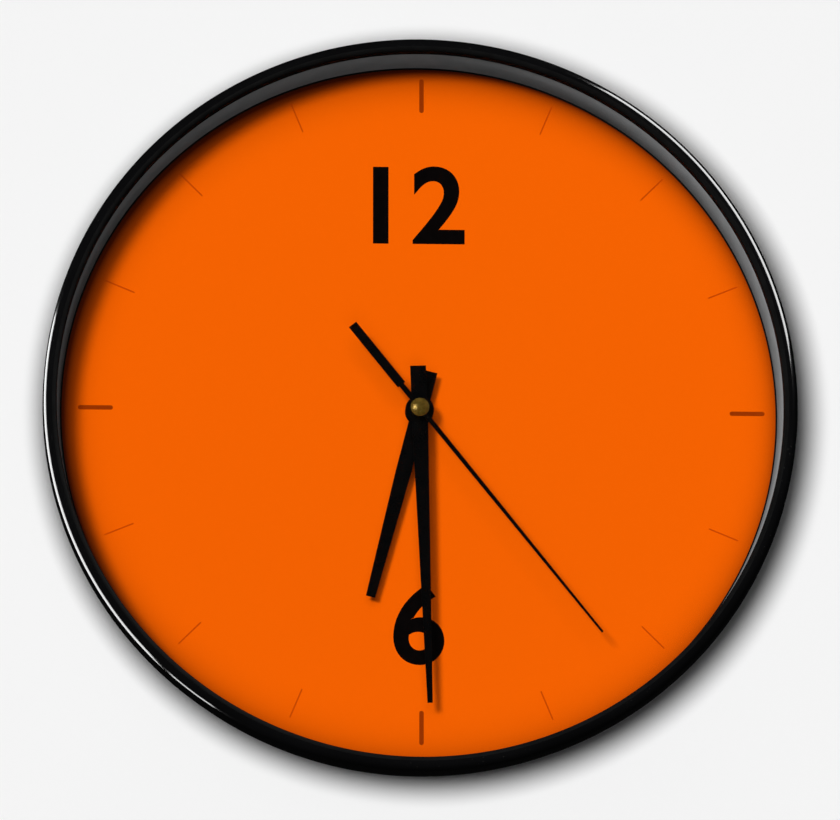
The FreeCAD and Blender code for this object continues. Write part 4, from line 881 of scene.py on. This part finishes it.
def makeMarks():
    for name, look in markSets.items():
        half, start, end = look["half"], look["from"], look["to"]
        points = [(-half, start), (half, start), (half, end), (-half, end)]
        bm = bmesh.new()
        for index in range(marks["count"]):
            if (index % marks["majorEach"] == 0) != look["major"]:
                continue
            verts = flatShape(bm, points, marks["level"], marks["ink"],
                              half * marks["endRound"], marks["endParts"])
            turn = Matrix.Rotation(math.tau * index / marks["count"], 3, "Y")
            bmesh.ops.rotate(bm, verts=list(verts), cent=(0, 0, 0), matrix=turn)
        bmesh.ops.translate(bm, verts=bm.verts[:], vec=spot(*marks["register"], 0))
        shown(name, bm, [finish[look["ink"]]], "case")


# size of the letters in mm, radius of their middles; bold and spacing are shares of the size
numerals = {"level": 20.0, "ink": 0.03, "size": 37.0, "bold": 0.022, "spacing": 1.06,
            "curveParts": 10, "radius": 73.0, "mergeGap": 1e-5}


def makeNumeral(text, up):
    curve = bpy.data.curves.new("numeral" + text, "FONT")
    curve.body = text
    curve.size = 1.0
    curve.align_x, curve.align_y = "CENTER", "CENTER"
    curve.offset = numerals["bold"]
    curve.space_character = numerals["spacing"]
    curve.resolution_u = numerals["curveParts"]
    writer = bpy.data.objects.new("numeral" + text, curve)
    bpy.context.scene.collection.objects.link(writer)
    bm = finalShape(writer)
    bmesh.ops.remove_doubles(bm, verts=bm.verts[:], dist=numerals["mergeGap"])
    low = Vector((min(v.co.x for v in bm.verts), min(v.co.y for v in bm.verts), 0))
    high = Vector((max(v.co.x for v in bm.verts), max(v.co.y for v in bm.verts), 0))
    bmesh.ops.translate(bm, verts=bm.verts[:], vec=(low + high) / -2)
    bmesh.ops.scale(bm, verts=bm.verts[:], vec=[numerals["size"] * mm] * 3)
    bmesh.ops.rotate(bm, verts=bm.verts[:], cent=(0, 0, 0), matrix=upright)
    bmesh.ops.translate(bm, verts=bm.verts[:], vec=spot(0, up, numerals["level"]))
    thicken(bm, bm.faces[:], numerals["ink"])
    shown("numeral" + text, bm, [finish["numeralInk"]], "case")


makeMarks()
makeNumeral("12", numerals["radius"])
makeNumeral("6", -numerals["radius"])
print("dial print made")

# angle clockwise from up; side: (right, up) along the blade's right edge, from tail to tip
hands = {
    "hourHandBlade": {"angle": 194.3, "side": [(2.6, -14.5), (2.6, 22.0), (1.58, 66.3)],
                      "eye": 4.8, "hole": 3.0, "level": 23.2, "thickness": 0.5, "edge": 0.14,
                      "body": "hour", "node": "hour_hand"},
    "minuteHandBlade": {"angle": 178.0, "side": [(2.65, -15.2), (2.65, 6.0), (0.88, 101.5)],
                        "eye": 4.8, "hole": 2.2, "level": 26.4, "thickness": 0.5, "edge": 0.14,
                        "body": "minute", "node": "minute_hand"},
    "secondHandBlade": {"angle": 141.5, "side": [(1.55, -36.5), (1.55, -10.0), (0.9, -10.0),
                                                 (0.9, 0.0), (0.8, 0.0), (0.35, 98.6)],
                        "eye": 2.6, "hole": 0.95, "level": 29.3, "thickness": 0.4, "edge": 0.1,
                        "body": "second", "node": "second_hand"},
}
blade = {"eyeSteps": 96, "edgeParts": 2, "edgeLimit": 40.0}


# right half of a circle, from the bottom up
def halfCircle(radius):
    turns = [math.tau * index / blade["eyeSteps"] for index in range(blade["eyeSteps"] // 2 + 1)]
    return [(radius * math.sin(turn), -radius * math.cos(turn)) for turn in turns]


# where the segments first to second and third to fourth cross, or None
def crossing(first, second, third, fourth):
    run, rise = second[0] - first[0], second[1] - first[1]
    otherRun, otherRise = fourth[0] - third[0], fourth[1] - third[1]
    turn = run * otherRise - rise * otherRun
    if turn == 0:
        return None
    right, up = third[0] - first[0], third[1] - first[1]
    along = (right * otherRise - up * otherRun) / turn
    across = (right * rise - up * run) / turn
    isMet = 0 <= along < 1 and 0 <= across < 1
    return (first[0] + along * run, first[1] + along * rise) if isMet else None


# the blade's right edge with the right half of the eye let in, from tail to tip
def outerHalf(side, eye):
    arc = halfCircle(eye)
    met = [crossing(*one, *two) for one in zip(side, side[1:]) for two in zip(arc, arc[1:])]
    low, high = sorted((point for point in met if point), key=lambda point: point[1])
    return ([point for point in side if point[1] < low[1]] + [low]
            + [point for point in arc if low[1] < point[1] < high[1]] + [high]
            + [point for point in side if point[1] > high[1]])


# two mirrored halves that meet along the blade's middle line, above and below the hole
def makeHand(name, hand):
    side = hand["side"]
    half = [(0.0, side[0][1]), *outerHalf(side, hand["eye"]), (0.0, side[-1][1])]
    half += [(right, -up) for right, up in halfCircle(hand["hole"])]
    bm = bmesh.new()
    for sign in (1, -1):
        places = [spot(sign * right, up, hand["level"]) for right, up in half]
        bm.faces.new([bm.verts.new(place) for place in places])
    bmesh.ops.remove_doubles(bm, verts=bm.verts[:], dist=mergeGap)
    bmesh.ops.recalc_face_normals(bm, faces=bm.faces[:])
    thicken(bm, bm.faces[:], hand["thickness"])
    bmesh.ops.recalc_face_normals(bm, faces=bm.faces[:])
    base = newObject(name + "Base", bm)
    step = base.modifiers.new("edge", "BEVEL")
    step.width, step.segments = hand["edge"] * mm, blade["edgeParts"]
    step.limit_method, step.angle_limit = "ANGLE", math.radians(blade["edgeLimit"])
    made = finalShape(base)
    turn = Matrix.Rotation(math.radians(hand["angle"]), 3, "Y")
    bmesh.ops.rotate(made, verts=made.verts[:], cent=(0, 0, 0), matrix=turn)
    shown(name, made, [finish["handLacquer"]], hand["body"], [hand["node"]],
          sharp=30)


for name, hand in hands.items():
    makeHand(name, hand)
print("hands made")

handCap = {"radius": 3.15, "low": 29.7, "rim": 30.2, "top": 31.6, "bore": 0.95,
           "boreTop": 30.55, "steps": 96, "domeParts": 14}


def makeCap():
    bm = bmesh.new()
    dome = handCap["top"] - handCap["rim"]
    sphere = (handCap["radius"] ** 2 + dome ** 2) / (2 * dome)
    corners = [(0.0, handCap["boreTop"]), (handCap["bore"], handCap["boreTop"]),
               (handCap["bore"], handCap["low"]), (handCap["radius"], handCap["low"]),
               (handCap["radius"], handCap["rim"])]
    verts = openOutline(bm, [spot(radius, 0, level) for radius, level in corners])
    bmesh.ops.spin(bm, geom=[verts[-1]], cent=spot(0, 0, handCap["top"] - sphere),
                   axis=(0, 0, 1), dvec=(0, 0, 0), angle=-math.asin(handCap["radius"] / sphere),
                   steps=handCap["domeParts"], use_merge=False, use_duplicate=False)
    spinRound(bm, (0, 1, 0), handCap["steps"])
    shown("brassCap", bm, [finish["capBrass"]], "second", ["second_hand_cap"],
          sharp=30)


makeCap()
print("cap made")

# penlight cell in the bay, spun round its own axis along X; the profile runs from the flat end
# to the nub as (distance from that axis, place along it)
cell = {"height": -19.27, "level": 8.8, "jacketFrom": -24.37, "jacketTo": 23.8, "steps": 64,
        "profile": [(0.0, -24.5), (5.53, -24.5), (5.93, -24.38), (6.63, -24.38), (7.25, -23.8),
                    (7.25, 23.4), (6.23, 24.35), (5.73, 24.6), (3.15, 24.6), (2.75, 24.7),
                    (2.75, 25.7), (2.45, 26.0), (0.0, 26.0)]}


def makeCell():
    bm = bmesh.new()
    openOutline(bm, [(along * mm, 0, out * mm) for out, along in cell["profile"]])
    spinRound(bm, (1, 0, 0), cell["steps"])
    for face in bm.faces:
        along = face.calc_center_median().x / mm
        face.material_index = 0 if cell["jacketFrom"] < along < cell["jacketTo"] else 1
    bmesh.ops.translate(bm, verts=bm.verts[:], vec=spot(0, cell["height"], cell["level"]))
    shown("penlightCell", bm, [finish["cellJacket"], finish["cellSteel"]], "cell",
          ["battery"], sharp=30)


makeCell()
print("cell made")

# finish of each material slot of the record, for the carried-over nodes
slotFinish = {
    "case_plastic": "casePlastic", "lens_acrylic": "lensAcrylic", "dial_card": "dialCard",
    "collet_brass": "colletBrass", "housing_plastic": "housingPlastic",
    "wheel_plastic": "wheelPlastic", "knob_plastic": "knobPlastic",
    "screw_steel": "screwSteel", "contact_steel": "contactSteel",
    "board_laminate": "boardLaminate", "chip_epoxy": "chipEpoxy", "crystal_can": "crystalCan",
    "coil_copper": "coilCopper", "bobbin_plastic": "bobbinPlastic",
    "magnet_steel": "magnetSteel", "bezel_plastic": "bezelPlastic",
    "reveal_plastic": "revealPlastic", "hand_lacquer": "handLacquer",
    "hand_brass": "capBrass", "cell_jacket": "cellJacket",
}


def dressNodes():
    slots = {part["node"]: part["material_slot"] for part in frame["record"]["subparts"]}
    for name, node in nodes.items():
        material = finish[slotFinish[slots[name]]]
        if not node.material_slots:
            node.data.materials.append(material)
        for place in node.material_slots:
            place.material = material


dressNodes()
addSoftboxes()
# keeps the grey reveal and the black hands free of orange bounce light
nodes["dial"].visible_diffuse = False
nodes["dial"].visible_glossy = False
print("nodes dressed")
